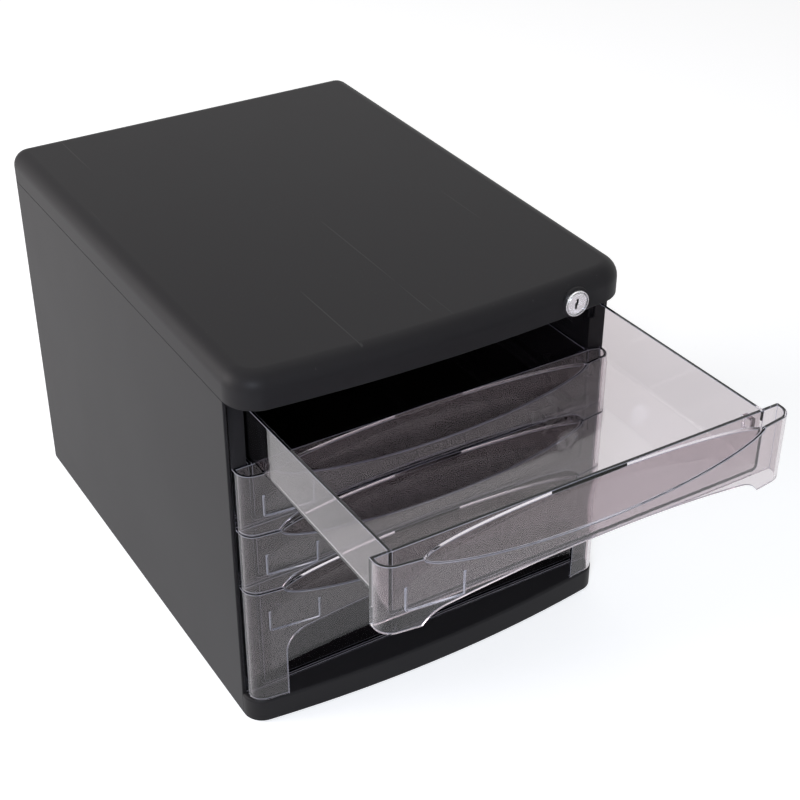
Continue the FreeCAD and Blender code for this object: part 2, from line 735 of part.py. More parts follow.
def make_base():
    wall = size("plinth_wall")
    bow = FACE_BOW_RADIUS
    low = size("skirt_gap")
    face = FRONT - FACE_BOW
    rear = FRONT + size("plinth_corner_radius")
    outer = bowed_block("plinth_outside", HALF_WIDTH, rear, face, bow,
                        (size("plinth_corner_radius"), None), size("plinth_edge_radius"),
                        size("plinth_top") - low, low)
    inner = bowed_block("plinth_inside", HALF_WIDTH - wall, rear, face + wall, bow - wall,
                        (size("plinth_corner_radius") - wall, None), None,
                        size("plinth_top") - wall - low, low)
    behind = box("plinth_behind", (-HALF_WIDTH, HALF_WIDTH), (FRONT, rear), (low, size("plinth_top")))
    plinth = cut("plinth", outer, [inner, behind])
    plinth_back = box("plinth_back", (wall / 2 - HALF_WIDTH, HALF_WIDTH - wall / 2),
                      (FRONT - wall, FRONT), (low, size("plinth_top") - wall / 2))
    floor = cut("floor", floor_block("floor_outside", 0, (low, FLOOR_TOP)),
                [floor_block("floor_inside", size("rim_wall"), (low, size("floor_level")))])
    pieces = [plinth, plinth_back, floor]
    holes = []
    pocket_radius = size("foot_diameter") / 2 + size("foot_fit")
    for name, (x, y) in foot_places().items():
        pieces.append(cylinder(f"{name}_boss", "z", (x, y, low),
                               pocket_radius + size("foot_boss_wall"), size("floor_level") - low))
        holes.append(cylinder(f"{name}_pocket", "z", (x, y, low - size("screw_tip_room")),
                              pocket_radius, size("foot_height") - low + size("screw_tip_room")))
    for side, sign in (("left", -1), ("right", 1)):
        x = BACK_SCREW_X * sign
        pieces.append(box(f"base_back_block_{side}",
                          (x - size("back_block_width") / 2, x + size("back_block_width") / 2),
                          (BACK_FACE - size("back_block_depth"), BACK_FACE),
                          (FLOOR_TOP - size("floor_thickness") / 2,
                           FLOOR_TOP + size("back_block_rise"))))
        holes.append(screw_hole(f"base_back_hole_{side}", "y",
                                (x, BACK_FACE - size("back_screw_bite") - size("screw_tip_room"),
                                 BACK_SCREW_LOW),
                                size("back_screw_bite") + size("screw_tip_room") * 2))
        for end, y in zip(("front", "rear"), CASE_SCREW_YS):
            holes += sunk_hole(f"floor_hole_{side}_{end}", CASE_SCREW_X * sign, y)
    holes += sunk_hole("foot_guide_floor_hole", GUIDE_SCREW_X, BAR_MIDDLE)
    node("base", cut("base_finished", fuse("base_pieces", pieces), holes))


def make_feet():
    radius = size("foot_diameter") / 2
    bevel = size("foot_bevel")
    for name, (x, y) in foot_places().items():
        body = new_body(name, x=x, y=y)
        profile = [(0, 0), (radius - bevel, 0), (radius, bevel), (radius, size("foot_height")),
                   (0, size("foot_height"))]
        body.Tip = revolve(body, f"{name}_turn", outline(body, f"{name}_half", "XZ_Plane", profile))
        node(name, body)


# Drawers
def extruded(wire, direction):
    return Part.Face(wire).extrude(direction)


def bow_face_y(x):
    """Front of the drawer face at x, measured from the back of the front wall."""
    radius = FACE_BOW_RADIUS.mm
    return radius - FACE_BOW.mm - math.sqrt(radius * radius - x * x)


def face_block(inset, back_y, height):
    """Block with the bowed plan of the drawer face, drawn in by inset and cut off at back_y."""
    radius = size("face_corner_radius").mm
    block = extruded(face_plan(inset, radius), Vector(0, 0, height))
    width = HALF_WIDTH.mm * 2
    behind = Part.makeBox(width, radius * 2, height * 2, Vector(-width / 2, back_y, -height / 2))
    return block.cut(behind)


def face_plan(inset, back_y):
    """Bowed plan of the drawer face, drawn in by inset and closed at back_y."""
    bow = FACE_BOW_RADIUS.mm - inset
    corner = size("face_corner_radius").mm - inset
    half = FACE_HALF.mm - inset
    centre_y = FACE_BOW_RADIUS.mm - FACE_BOW.mm
    corner_x = half - corner
    corner_y = centre_y - math.sqrt((bow - corner) ** 2 - corner_x ** 2)
    lean = math.atan2(corner_x, centre_y - corner_y)
    touch = Vector(bow * math.sin(lean), centre_y - bow * math.cos(lean), 0)
    half_turn = (math.pi / 2 + lean) / 2
    middle = Vector(corner_x + corner * math.sin(half_turn), corner_y - corner * math.cos(half_turn), 0)

    def mirrored(point):
        return Vector(-point.x, point.y, 0)

    right_back = Vector(half, back_y, 0)
    right_side = Vector(half, corner_y, 0)
    crown = Vector(0, centre_y - bow, 0)
    edges = [
        Part.LineSegment(mirrored(right_back), mirrored(right_side)),
        Part.Arc(mirrored(right_side), mirrored(middle), mirrored(touch)),
        Part.Arc(mirrored(touch), crown, touch),
        Part.Arc(touch, middle, right_side),
        Part.LineSegment(right_side, right_back),
        Part.LineSegment(right_back, mirrored(right_back)),
    ]
    return Part.Wire([edge.toShape() for edge in edges])


def tangent_arc(start, heading, end):
    """Arc from start, leaving along heading in the XZ plane, to end."""
    chord = end - start
    half_turn = math.atan2(chord.x * heading.z - chord.z * heading.x, chord.dot(heading))
    radius = chord.Length / (2 * math.sin(half_turn))
    lean = half_turn / 2
    turned = Vector(heading.x * math.cos(lean) - heading.z * -math.sin(lean), 0,
                    heading.z * math.cos(lean) + heading.x * -math.sin(lean))
    return Part.Arc(start, start + turned * (2 * radius * math.sin(lean)), end)


def arch_wire(height, deep):
    """Finger arch below the drawer face, drawn in the XZ plane in front of the face."""
    far = -FACE_BOW.mm - size("face_wall").mm
    if deep:
        foot_x = FACE_HALF.mm - size("deep_leg_width").mm
        crown_z = height - size("deep_crown_depth").mm
        shoulder_z = crown_z - size("deep_shoulder_drop").mm
    else:
        foot_x = FACE_HALF.mm - size("arch_leg_width").mm
        crown_z = height - size("arch_crown_depth").mm
        shoulder_z = size("arch_shoulder_rise").mm
    shoulder_x = foot_x - size("arch_shoulder_width").mm
    rise = crown_z - shoulder_z
    arch_radius = (shoulder_x ** 2 + rise ** 2) / (2 * rise)
    slope = math.asin(shoulder_x / arch_radius)
    heading = Vector(math.cos(slope), 0, -math.sin(slope))
    crown = Vector(0, far, crown_z)
    shoulder = Vector(shoulder_x, far, shoulder_z)
    shoulder_radius = (foot_x - shoulder_x) / (1 - math.sin(slope))
    foot_z = shoulder_z - shoulder_radius * math.cos(slope) if deep else 0
    foot = Vector(foot_x, far, foot_z)
    below = Vector(foot.x, far, -PAST)

    def mirrored(point):
        return Vector(-point.x, point.y, point.z)

    shoulder_edge = tangent_arc(shoulder, heading, foot).toShape()
    middle = shoulder_edge.valueAt((shoulder_edge.FirstParameter + shoulder_edge.LastParameter) / 2)
    edges = [
        Part.LineSegment(mirrored(below), mirrored(foot)),
        Part.Arc(mirrored(foot), mirrored(middle), mirrored(shoulder)),
        Part.Arc(mirrored(shoulder), crown, shoulder),
        Part.Arc(shoulder, middle, foot),
        Part.LineSegment(foot, below),
        Part.LineSegment(below, mirrored(below)),
    ]
    return Part.Wire([edge.toShape() for edge in edges])


def scoop_sections(height, corners_at):
    """Ruled solid through sections across the thumb scoop, closer together near its tips."""
    steps = 5
    widest_angle = 80
    overlap = size("face_wall").mm / 8
    tip_x = FACE_HALF.mm - size("scoop_end_inset").mm
    tip_y = bow_face_y(tip_x)
    wires = []
    for step in range(-steps, steps + 1):
        angle = math.radians(widest_angle * step / steps)
        x = tip_x * math.sin(angle)
        share = math.cos(angle)
        top_y = tip_y + (overlap - size("front_wall").mm - tip_y) * share
        low_y = bow_face_y(x) + overlap / 2
        low_z = height - size("scoop_depth").mm * share
        corners = [Vector(x, y, z) for y, z in corners_at(top_y, low_y, low_z)]
        wires.append(Part.makePolygon(corners + [corners[0]]))
    return Part.makeLoft(wires, True, True)


def drawer_face(height, deep):
    """Bowed hollow face with its front wall, thumb scoop, finger arch and label frame."""
    front_wall = size("front_wall").mm
    face_wall = size("face_wall").mm
    outer = face_block(0, 0, height)
    shell = outer.cut(face_block(face_wall, -front_wall, height))
    far = -FACE_BOW.mm - face_wall
    sheet = size("scoop_sheet").mm
    above = height + PAST

    def cutter_corners(top_y, low_y, low_z):
        return [(top_y, height), (low_y, low_z), (far, low_z), (far, above), (top_y, above)]

    def sheet_corners(top_y, low_y, low_z):
        return [(top_y, height), (low_y, low_z), (low_y, low_z - sheet), (top_y, height - sheet)]

    arch_depth = -far - front_wall - face_wall / 2
    arch = extruded(arch_wire(height, deep), Vector(0, arch_depth, 0))
    shell = shell.cut([scoop_sections(height, cutter_corners), arch])
    scoop = scoop_sections(height, sheet_corners)

    proud = size("label_proud").mm
    line = size("label_line").mm
    left = size("label_inset").mm - FACE_HALF.mm
    width = size("label_width").mm
    low = height - size("label_top_depth").mm - size("label_height").mm
    mask = Part.makeBox(width, -far, size("label_height").mm, Vector(left, far, low))
    window = Part.makeBox(width - 2 * line, -far, size("label_height").mm,
                          Vector(left + line, far, low + line))
    skin = face_block(-proud, -front_wall, height).cut(face_block(face_wall / 4, -front_wall, height))
    label = skin.common(mask.cut(window))
    return shell.fuse([scoop, label])


def rounded_tray(half, rear, low, high, radius):
    """Block from the front wall to rear with rounded lower and rear edges."""
    block = Part.makeBox(2 * half, rear, high - low, Vector(-half, 0, low))
    rounded = []
    for edge in block.Edges:
        centre = edge.CenterOfMass
        lower_side = abs(centre.z - low) < SAME and centre.y > SAME
        rear_upright = is_upright(edge) and centre.y > SAME
        if lower_side or rear_upright:
            rounded.append(edge)
    return block.makeFillet(radius, rounded)


def drawer_tray(height):
    """Open tray behind the front wall, with its stop lugs and the lug that the lock bar blocks."""
    half = TRAY_HALF.mm
    wall = size("tray_wall").mm
    low = size("tray_lift").mm
    length = TRAY_REAR.mm - TRAY_FRONT.mm
    rim = height - size("rim_drop").mm
    outer = rounded_tray(half, length, low, rim, size("tray_radius").mm)
    inner = rounded_tray(half - wall, length - wall, low + size("tray_floor").mm, rim + PAST,
                         size("tray_radius").mm / 2)
    side = -half - PAST
    fall = [Vector(side, 0, rim), Vector(side, length + PAST, rim),
            Vector(side, length + PAST, rim - size("rim_fall").mm)]
    wedge = extruded(Part.makePolygon(fall + [fall[0]]), Vector(-2 * side, 0, 0))
    tray = outer.cut([inner, wedge])
    stop_front = size("stop_setback").mm + size("stop_length").mm + size("stop_gap").mm
    stop_y = stop_front + size("front_gap").mm + size("drawer_travel").mm
    root_x = wall / 2
    reach = root_x + size("lug_reach").mm
    lugs = []
    for x in (root_x - half - reach, half - root_x):
        lugs.append(Part.makeBox(reach, size("stop_length").mm, size("stop_height").mm,
                                 Vector(x, stop_y, low + size("stop_rise").mm)))
    lock_y = BAR_BACK.mm - TRAY_FRONT.mm + size("lock_lug_gap").mm
    lock_reach = root_x + LUG_END.mm - half
    lugs.append(Part.makeBox(lock_reach, size("lock_lug_length").mm, size("lock_lug_height").mm,
                             Vector(half - root_x, lock_y, low + size("lock_lug_rise").mm)))
    return tray.fuse(lugs)


def make_drawers():
    rows = [("top_drawer", TOP_BOTTOM, "shallow_height", size("top_drawer_pull")),
            ("second_drawer", SECOND_BOTTOM, "shallow_height", 0),
            ("third_drawer", THIRD_BOTTOM, "shallow_height", 0),
            ("deep_drawer", DEEP_BOTTOM, "deep_height", 0)]
    for name, bottom, height_name, pull in rows:
        height = size(height_name).mm
        drawer = doc.addObject("Part::Feature", name)
        face = drawer_face(height, height_name == "deep_height")
        drawer.Shape = face.fuse(drawer_tray(height)).removeSplitter().Solids[0]
        bind(drawer, {"Placement.Base.y": TRAY_FRONT - pull, "Placement.Base.z": bottom})
        node(name, drawer)


# Lock
def make_lock_housing():
    bore = size("plug_diameter") / 2 + size("plug_fit")
    front = PAD_FACE - size("ring_thickness")
    bevel = size("ring_bevel")
    body = new_body("lock_housing", x=LOCK_X, z=LOCK_Z)
    profile = [(bore, front), (RING_RADIUS - bevel, front), (RING_RADIUS, front + bevel),
               (RING_RADIUS, PAD_FACE), (BARREL_RADIUS, PAD_FACE), (BARREL_RADIUS, BARREL_END),
               (bore, BARREL_END)]
    body.Tip = revolve(body, "lock_housing_turn",
                       outline(body, "lock_housing_half", "XY_Plane", profile))
    node("lock_housing", body)


def make_lock_nut():
    nut = doc.addObject("Part::Prism", "nut_blank")
    nut.Polygon = 6
    nut.Placement = Placement(Vector(), TURNS["y"])
    bind(nut, {"Circumradius": NUT_HALF * 2 / root(3), "Height": size("nut_thickness")})
    bind(nut, {"Placement.Base.x": LOCK_X, "Placement.Base.y": SEAT_FACE, "Placement.Base.z": LOCK_Z})
    bore = cylinder("nut_bore", "y", (LOCK_X, SEAT_FACE - PAST, LOCK_Z),
                    BARREL_RADIUS + size("nut_fit"), size("nut_thickness") + PAST * 2)
    node("lock_nut", cut("nut_finished", nut, [bore]))


def make_lock_plug():
    front = PAD_FACE - size("ring_thickness") + size("plug_recess")
    half_tail = size("tail_width") / 2
    barrel = cylinder("plug_barrel", "y", (LOCK_X, front, LOCK_Z), size("plug_diameter") / 2,
                      CAM_FACE - front)
    tail = box("plug_tail", (LOCK_X - half_tail, LOCK_X + half_tail),
               (CAM_FACE, CAM_FACE + size("tail_length")), (LOCK_Z - half_tail, LOCK_Z + half_tail))
    half_key = size("keyway_height") / 2
    width = size("keyway_width")
    jog = size("keyway_jog")
    depth = (front - PAST, front + size("keyway_depth"))
    upper = box("keyway_upper", (LOCK_X - width / 2, LOCK_X + width / 2), depth,
                (LOCK_Z - width / 2, LOCK_Z + half_key))
    lower = box("keyway_lower", (LOCK_X - width / 2 - jog, LOCK_X + width / 2 - jog), depth,
                (LOCK_Z - half_key, LOCK_Z + width / 2))
    blank = fuse("plug_blank", [barrel, tail])
    node("lock_plug", cut("plug_finished", blank, [upper, lower, cross_pin_hole("plug_cross_hole")]))


def cross_pin_hole(name):
    half_cam = size("cam_diameter") / 2
    return cylinder(name, "x", (LOCK_X - half_cam, CAM_FACE + size("tail_length") / 2, LOCK_Z),
                    size("cross_pin_diameter") / 2 + size("tail_fit"), size("cam_diameter"))


def make_lock_cam():
    half_socket = size("tail_width") / 2 + size("tail_fit")
    disc = cylinder("cam_disc", "y", (LOCK_X, CAM_FACE, LOCK_Z), size("cam_diameter") / 2,
                    size("cam_thickness"))
    eccentric = cylinder("cam_eccentric", "y", (ECCENTRIC_X, CAM_BACK, ECCENTRIC_Z),
                         size("eccentric_diameter") / 2,
                         BAR_BACK - CAM_BACK + size("eccentric_proud"))
    socket = box("cam_socket", (LOCK_X - half_socket, LOCK_X + half_socket),
                 (CAM_FACE - PAST, CAM_FACE + size("tail_length") + size("tail_fit")),
                 (LOCK_Z - half_socket, LOCK_Z + half_socket))
    blank = fuse("cam_blank", [disc, eccentric])
    node("lock_cam", cut("cam_finished", blank, [socket, cross_pin_hole("cam_cross_hole")]))
    inset = size("cross_pin_inset")
    pin = cylinder("cam_pin", "x",
                   (LOCK_X - size("cam_diameter") / 2 + inset,
                    CAM_FACE + size("tail_length") / 2, LOCK_Z),
                   size("cross_pin_diameter") / 2, size("cam_diameter") - inset * 2)
    node("cam_pin", pin)


def make_lock_bar():
    end = ECCENTRIC_X - SLOT_HALF - size("bar_arm_end")
    body = new_body("bar_blank", y=BAR_BACK)
    plan = [(end, ARM_LOW), (LEG_INSIDE, ARM_LOW), (LEG_INSIDE, LEG_FOOT), (LEG_OUTSIDE, LEG_FOOT),
            (LEG_OUTSIDE, ARM_TOP), (end, ARM_TOP)]
    sketch = outline(body, "bar_plan", "XZ_Plane", plan)
    body.Tip = pad(body, "bar_pad", sketch, size("bar_thickness"))
    slot = box("bar_slot", (ECCENTRIC_X - SLOT_HALF, ECCENTRIC_X + SLOT_HALF),
               (BAR_FRONT - PAST, BAR_BACK + PAST), (SLOT_LOW, ECCENTRIC_Z + SLOT_HALF))
    node("lock_bar", cut("bar_finished", body, [slot]))


def make_bar_keeper():
    half = size("saddle_width") / 2 + size("keeper_margin")
    reach = size("keeper_screw_reach") + size("keeper_boss_diameter") / 2
    low = KEEPER_LOW
    body = new_body("keeper_blank", z=low)
    plan = [(SADDLE_X - half, BAR_MIDDLE - reach), (SADDLE_X + half, BAR_MIDDLE - reach),
            (SADDLE_X + half, BAR_MIDDLE + reach), (SADDLE_X - half, BAR_MIDDLE + reach)]
    sketch = outline(body, "keeper_plan", "XY_Plane", plan)
    body.Tip = pad(body, "keeper_pad", sketch, size("keeper_thickness"))
    through = size("keeper_thickness") + PAST * 2
    holes = [screw_hole(f"keeper_hole_{number}", "z", (SADDLE_X, y, low - PAST), through)
             for number, y in enumerate(KEEPER_SCREW_YS)]
    node("lock_bar_keeper", cut("keeper_finished", body, holes))


def make_foot_guide():
    gap = size("bar_gap")
    slot_low = LEG_FOOT - gap
    block_top = slot_low + size("foot_guide_rise")
    block = box("foot_guide_block", (BLOCK_INSIDE, GUIDE_OUTSIDE), (GUIDE_FRONT, GUIDE_BACK),
                (FLOOR_TOP, block_top))
    slot = box("foot_guide_slot", (LEG_INSIDE - BAR_THROW - gap, LEG_OUTSIDE + gap),
               (BAR_FRONT - gap, BAR_BACK + gap), (slot_low, block_top + PAST))
    hole = screw_hole("foot_guide_hole", "z", (GUIDE_SCREW_X, BAR_MIDDLE, FLOOR_TOP - PAST),
                      size("foot_guide_bite") + size("screw_tip_room") + PAST)
    node("foot_guide", cut("foot_guide_finished", block, [slot, hole]))


# Screw sets
def make_screw_sets():
    cover, low = [], []
    tab_low = PANEL_TOP - size("tab_thickness")
    for side, sign in (("left", -1), ("right", 1)):
        for end, y in zip(("front", "rear"), CASE_SCREW_YS):
            x = CASE_SCREW_X * sign
            cover.append(screw(f"cover_screw_{side}_{end}", "z", (x, y, tab_low), 1,
                               size("tab_thickness") + size("screw_bite")))
            low.append(screw(f"base_screw_{side}_{end}", "z", (x, y, size("floor_level")), 1,
                             size("floor_thickness") + size("base_screw_bite")))
    node("cover_screws", group("cover_screw_set", cover))
    node("base_screws", group("base_screw_set", low))
    back = [screw(f"back_screw_{number}", "y", (x, BACK - size("screw_head_height"), z), -1,
                  size("back_wall") - size("screw_head_height") + size("back_screw_bite"))
            for number, (x, z) in enumerate(back_screw_places())]
    node("back_panel_screws", group("back_screw_set", back))
    keeper = [screw(f"keeper_screw_{number}", "z", (SADDLE_X, y, KEEPER_LOW), 1,
                    size("keeper_thickness") + size("screw_bite"))
              for number, y in enumerate(KEEPER_SCREW_YS)]
    node("keeper_screws", group("keeper_screw_set", keeper))
    guide = screw("guide_screw", "z", (GUIDE_SCREW_X, BAR_MIDDLE, size("floor_level")), 1,
                  size("floor_thickness") + size("foot_guide_bite"))
    node("foot_guide_screw", guide)


def check_document():
    for thing in doc.Objects:
        if "Invalid" in thing.State or "Error" in thing.State:
            raise RuntimeError(f"{thing.Name} failed: {thing.State}")
    for name, thing in nodes.items():
        shape = thing.Shape
        if shape.isNull() or not shape.isValid() or not shape.Solids:
            raise RuntimeError(f"{name} has no sound shape")
        print(f"{name}: {len(shape.Solids)} solids, {shape.Volume / 1000:.2f} cm3")


def main():
    make_top_cover()
    make_side_panels()
    make_back_panel()
    make_base()
    make_feet()
    make_drawers()
    make_lock_housing()
    make_lock_nut()
    make_lock_plug()
    make_lock_cam()
    make_lock_bar()
    make_bar_keeper()
    make_foot_guide()
    make_screw_sets()
    doc.recompute()
    check_document()
    os.makedirs("parts", exist_ok=True)
    for name, thing in nodes.items():
        thing.Shape.exportStep(f"parts/{name}.step")


main()
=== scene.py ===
"""Looks of the desktop file drawer: a black case with a bowed cover, four clear drawers and a lock."""

import json
import logging
import math
from collections.abc import Callable, Iterable, Sequence
from dataclasses import dataclass
from enum import Enum

import bmesh
import bpy
from mathutils import Matrix, Vector


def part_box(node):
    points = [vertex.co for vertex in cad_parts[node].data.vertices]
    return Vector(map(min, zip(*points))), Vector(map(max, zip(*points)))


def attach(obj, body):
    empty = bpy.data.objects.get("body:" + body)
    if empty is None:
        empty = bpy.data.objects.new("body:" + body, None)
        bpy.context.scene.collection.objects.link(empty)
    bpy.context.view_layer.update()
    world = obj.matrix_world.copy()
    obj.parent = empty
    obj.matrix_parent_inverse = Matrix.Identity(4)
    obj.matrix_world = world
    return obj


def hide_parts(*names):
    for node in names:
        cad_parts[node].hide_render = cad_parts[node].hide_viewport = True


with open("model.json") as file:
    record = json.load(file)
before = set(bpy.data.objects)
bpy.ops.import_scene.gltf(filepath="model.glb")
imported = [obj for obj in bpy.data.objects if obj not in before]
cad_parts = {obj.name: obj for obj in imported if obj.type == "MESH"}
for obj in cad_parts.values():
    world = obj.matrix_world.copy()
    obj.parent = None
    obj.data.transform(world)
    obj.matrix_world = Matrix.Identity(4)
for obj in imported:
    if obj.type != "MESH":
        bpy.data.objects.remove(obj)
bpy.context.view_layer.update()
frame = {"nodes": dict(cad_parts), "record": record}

log = logging.getLogger("file_drawer")

UP = Vector((0, 0, 1))
BACKWARD = Vector((0, 1, 0))
SAME = 1e-6
PAST = 0.001
CURVE_TOLERANCE = 0.00002
DUST_COLOUR = (0.3, 0.29, 0.28, 1)
HOLLOW_WAY = Vector((0, 0.5, -0.85))
SIDE_SAG = 0.00007

Colour = tuple[float, float, float, float]


class Slot(Enum):
    """Material slots of the record."""

    CASE = "black_case"
    INNER = "black_inner"
    CLEAR = "clear_drawer"
    CHROME = "lock_chrome"
    STEEL = "steel"
    RUBBER = "foot_rubber"


class Join(Enum):
    """Ways to put two closed shapes together."""

    ADD = "UNION"
    CUT = "DIFFERENCE"
    SHARE = "INTERSECT"


class Side(Enum):
    """Left or right of the case, as a sign on X."""

    LEFT = -1
    RIGHT = 1


# Shapes


class Shape:
    """A mesh under work, with the few workshop steps that the pieces need."""

    def __init__(self, mesh: bmesh.types.BMesh) -> None:
        """Takes over a mesh."""
        self.mesh = mesh

    @classmethod
    def block(cls, low: Sequence[float], high: Sequence[float]) -> "Shape":
        """Makes a block between two corners.

        Args:
            low: The lowest corner.
            high: The highest corner.

        Returns:
            The closed block.
        """
        mesh = bmesh.new()
        bmesh.ops.create_cube(mesh, size=1.0)
        bmesh.ops.scale(mesh, vec=Vector(high) - Vector(low), verts=mesh.verts)
        bmesh.ops.translate(mesh, vec=(Vector(high) + Vector(low)) / 2, verts=mesh.verts)
        return cls(mesh)

    @classmethod
    def rod(cls, base: Sequence[float], reach: Vector, radius: float, sides: int = 48) -> "Shape":
        """Makes a round bar.

        Args:
            base: The middle of its first end.
            reach: From the first end to the other.
            radius: The bar's radius.
            sides: How many sides the round has.

        Returns:
            The closed bar.
        """
        mesh = bmesh.new()
        turn = UP.rotation_difference(reach).to_matrix().to_4x4()
        place = Matrix.Translation(Vector(base) + reach / 2) @ turn
        bmesh.ops.create_cone(mesh, cap_ends=True, segments=sides, radius1=radius, radius2=radius,
                              depth=reach.length, matrix=place)
        return cls(mesh)

    def copy(self) -> "Shape":
        """Returns a second shape with the same mesh."""
        return Shape(self.mesh.copy())

    def extrude(self, reach: Vector) -> "Shape":
        """Pulls the shape's open face along reach into a closed solid.

        Args:
            reach: The direction and length of the pull.

        Returns:
            The same shape, now closed.
        """
        grown = bmesh.ops.extrude_face_region(self.mesh, geom=list(self.mesh.faces), use_keep_orig=True)
        corners = [item for item in grown["geom"] if isinstance(item, bmesh.types.BMVert)]
        bmesh.ops.translate(self.mesh, vec=reach, verts=corners)
        bmesh.ops.recalc_face_normals(self.mesh, faces=self.mesh.faces)
        return self

    def round_edges(self, chosen: Callable[[bmesh.types.BMEdge], bool], radius: float,
                    segments: int) -> "Shape":
        """Rounds the edges that a test picks.

        Args:
            chosen: The test, which gets an edge.
            radius: The radius of the rounding.
            segments: How many strips the rounding has.

        Returns:
            The same shape.
        """
        edges = [edge for edge in self.mesh.edges if chosen(edge)]
        bmesh.ops.bevel(self.mesh, geom=edges, offset=radius, offset_type="OFFSET", affect="EDGES",
                        segments=segments, profile=0.5, clamp_overlap=False, material=-1)
        return self

    def moved(self, way: Sequence[float]) -> "Shape":
        """Makes a moved copy of the shape.

        Args:
            way: The move.

        Returns:
            The copy.
        """
        other = self.copy()
        bmesh.ops.translate(other.mesh, vec=Vector(way), verts=other.mesh.verts)
        return other

    def mirrored(self) -> "Shape":
        """Mirrors the shape across the middle of the case.

        Returns:
            The mirror image.
        """
        other = self.copy()
        bmesh.ops.scale(other.mesh, vec=Vector((-1, 1, 1)), verts=other.mesh.verts)
        bmesh.ops.reverse_faces(other.mesh, faces=other.mesh.faces)
        return other

    def join(self, how: Join, others: Iterable["Shape"]) -> "Shape":
        """Adds other closed shapes to this one, cuts them out of it or keeps what they share.

        Args:
            how: Which of the three.
            others: The shapes, which are left as they are.

        Returns:
            The new shape.
        """
        bench = bench_object(self.mesh)
        tools = [bench_object(other.mesh) for other in others]
        for tool in tools:
            modifier = bench.modifiers.new("join", "BOOLEAN")
            modifier.operation = how.value
            modifier.solver = "EXACT"
            modifier.object = tool
        depsgraph = bpy.context.evaluated_depsgraph_get()
        joined = bpy.data.meshes.new_from_object(bench.evaluated_get(depsgraph))
        mesh = bmesh.new()
        mesh.from_mesh(joined)
        bmesh.ops.remove_doubles(mesh, verts=mesh.verts, dist=SAME)
        bmesh.ops.dissolve_limit(mesh, angle_limit=math.radians(0.1), verts=mesh.verts,
                                 edges=mesh.edges)
        bpy.data.meshes.remove(joined)
        for item in [bench, *tools]:
            bpy.data.meshes.remove(item.data)
        return Shape(mesh)

    def add(self, *others: "Shape") -> "Shape":
        """Returns this shape and the others as one."""
        return self.join(Join.ADD, others)

    def cut(self, *others: "Shape") -> "Shape":
        """Returns this shape without the others."""
        return self.join(Join.CUT, others)

    def piece(self, name: str, soft_edge: float = 0.0, smooth_degrees: float = 32.0,
              edge_material: int = -1) -> bpy.types.Object:
        """Turns the shape into an object of the scene.

        Args:
            name: The object's name.
            soft_edge: The width of the small rounding on its sharp edges, or 0 for none.
            smooth_degrees: Faces that meet at less than this angle shade as one surface.
            edge_material: Place of the rounding's own material, or -1 for the neighbours'.

        Returns:
            The new object, at the origin.
        """
        mesh = bpy.data.meshes.new(name)
        bmesh.ops.recalc_face_normals(self.mesh, faces=self.mesh.faces)
        self.mesh.to_mesh(mesh)
        mesh.shade_smooth()
        piece = bpy.data.objects.new(name, mesh)
        bpy.context.scene.collection.objects.link(piece)
        if soft_edge:
            bevel = piece.modifiers.new("soft edges", "BEVEL")
            bevel.width = soft_edge
            bevel.segments = 2
            bevel.limit_method = "ANGLE"
            bevel.angle_limit = math.radians(smooth_degrees)
            bevel.use_clamp_overlap = False
            bevel.material = edge_material
            weighted = piece.modifiers.new("flat faces", "WEIGHTED_NORMAL")
            weighted.weight = 80
        else:
            mesh.set_sharp_from_angle(angle=math.radians(smooth_degrees))
        return piece


def bench_object(mesh: bmesh.types.BMesh) -> bpy.types.Object:
    """Puts a mesh on the bench as a short-lived object.

    Args:
        mesh: The mesh, which is left as it is.

    Returns:
        The object, linked to the scene.
    """
    data = bpy.data.meshes.new("bench")
    mesh.to_mesh(data)
    item = bpy.data.objects.new("bench", data)
    bpy.context.scene.collection.objects.link(item)
    return item


class Pen:
    """Draws one closed outline as a chain of edges, straight or round, in a plane."""

    def __init__(self, start: Sequence[float], normal: Vector = UP) -> None:
        """Starts a chain.

        Args:
            start: The first point.
            normal: The plane's normal, about which round stretches turn.
        """
        self.mesh = bmesh.new()
        self.normal = normal
        self.tip = bmesh.ops.create_vert(self.mesh, co=Vector(start))["vert"][0]

    def line(self, point: Sequence[float]) -> None:
        """Goes straight to a point."""
        self.tip = bmesh.ops.extrude_vert_indiv(self.mesh, verts=[self.tip])["verts"][0]
        self.tip.co = Vector(point)

    def turn(self, centre: Sequence[float], angle: float) -> None:
        """Goes round a centre, in steps that stay within the tolerance of the true arc.

        Args:
            centre: The middle of the arc.
            angle: How far to go, in radians, by the right-hand rule.
        """
        radius = (self.tip.co - Vector(centre)).length
        step = 2 * math.acos(1 - CURVE_TOLERANCE / radius)
        swept = bmesh.ops.spin(self.mesh, geom=[self.tip], cent=Vector(centre), axis=self.normal,
                               angle=angle, steps=max(2, math.ceil(abs(angle) / step)))
        self.tip = next(item for item in swept["geom_last"] if isinstance(item, bmesh.types.BMVert))

    def face(self) -> Shape:
        """Closes the chain.

        Returns:
            A flat shape with the one face.
        """
        bmesh.ops.remove_doubles(self.mesh, verts=self.mesh.verts, dist=SAME * 10)
        bmesh.ops.contextual_create(self.mesh, geom=self.mesh.edges)
        return Shape(self.mesh)


def prism(corners: Sequence[tuple[float, float]], low: float, high: float) -> Shape:
    """Raises a straight-sided plan into a block.

    Args:
        corners: X and Y of the plan's corners, in order.
        low: Z of the underside.
        high: Z of the top.

    Returns:
        The closed block.
    """
    pen = Pen((*corners[0], low))
    for corner in [*corners[1:], corners[0]]:
        pen.line((*corner, low))
    return pen.face().extrude(UP * (high - low))


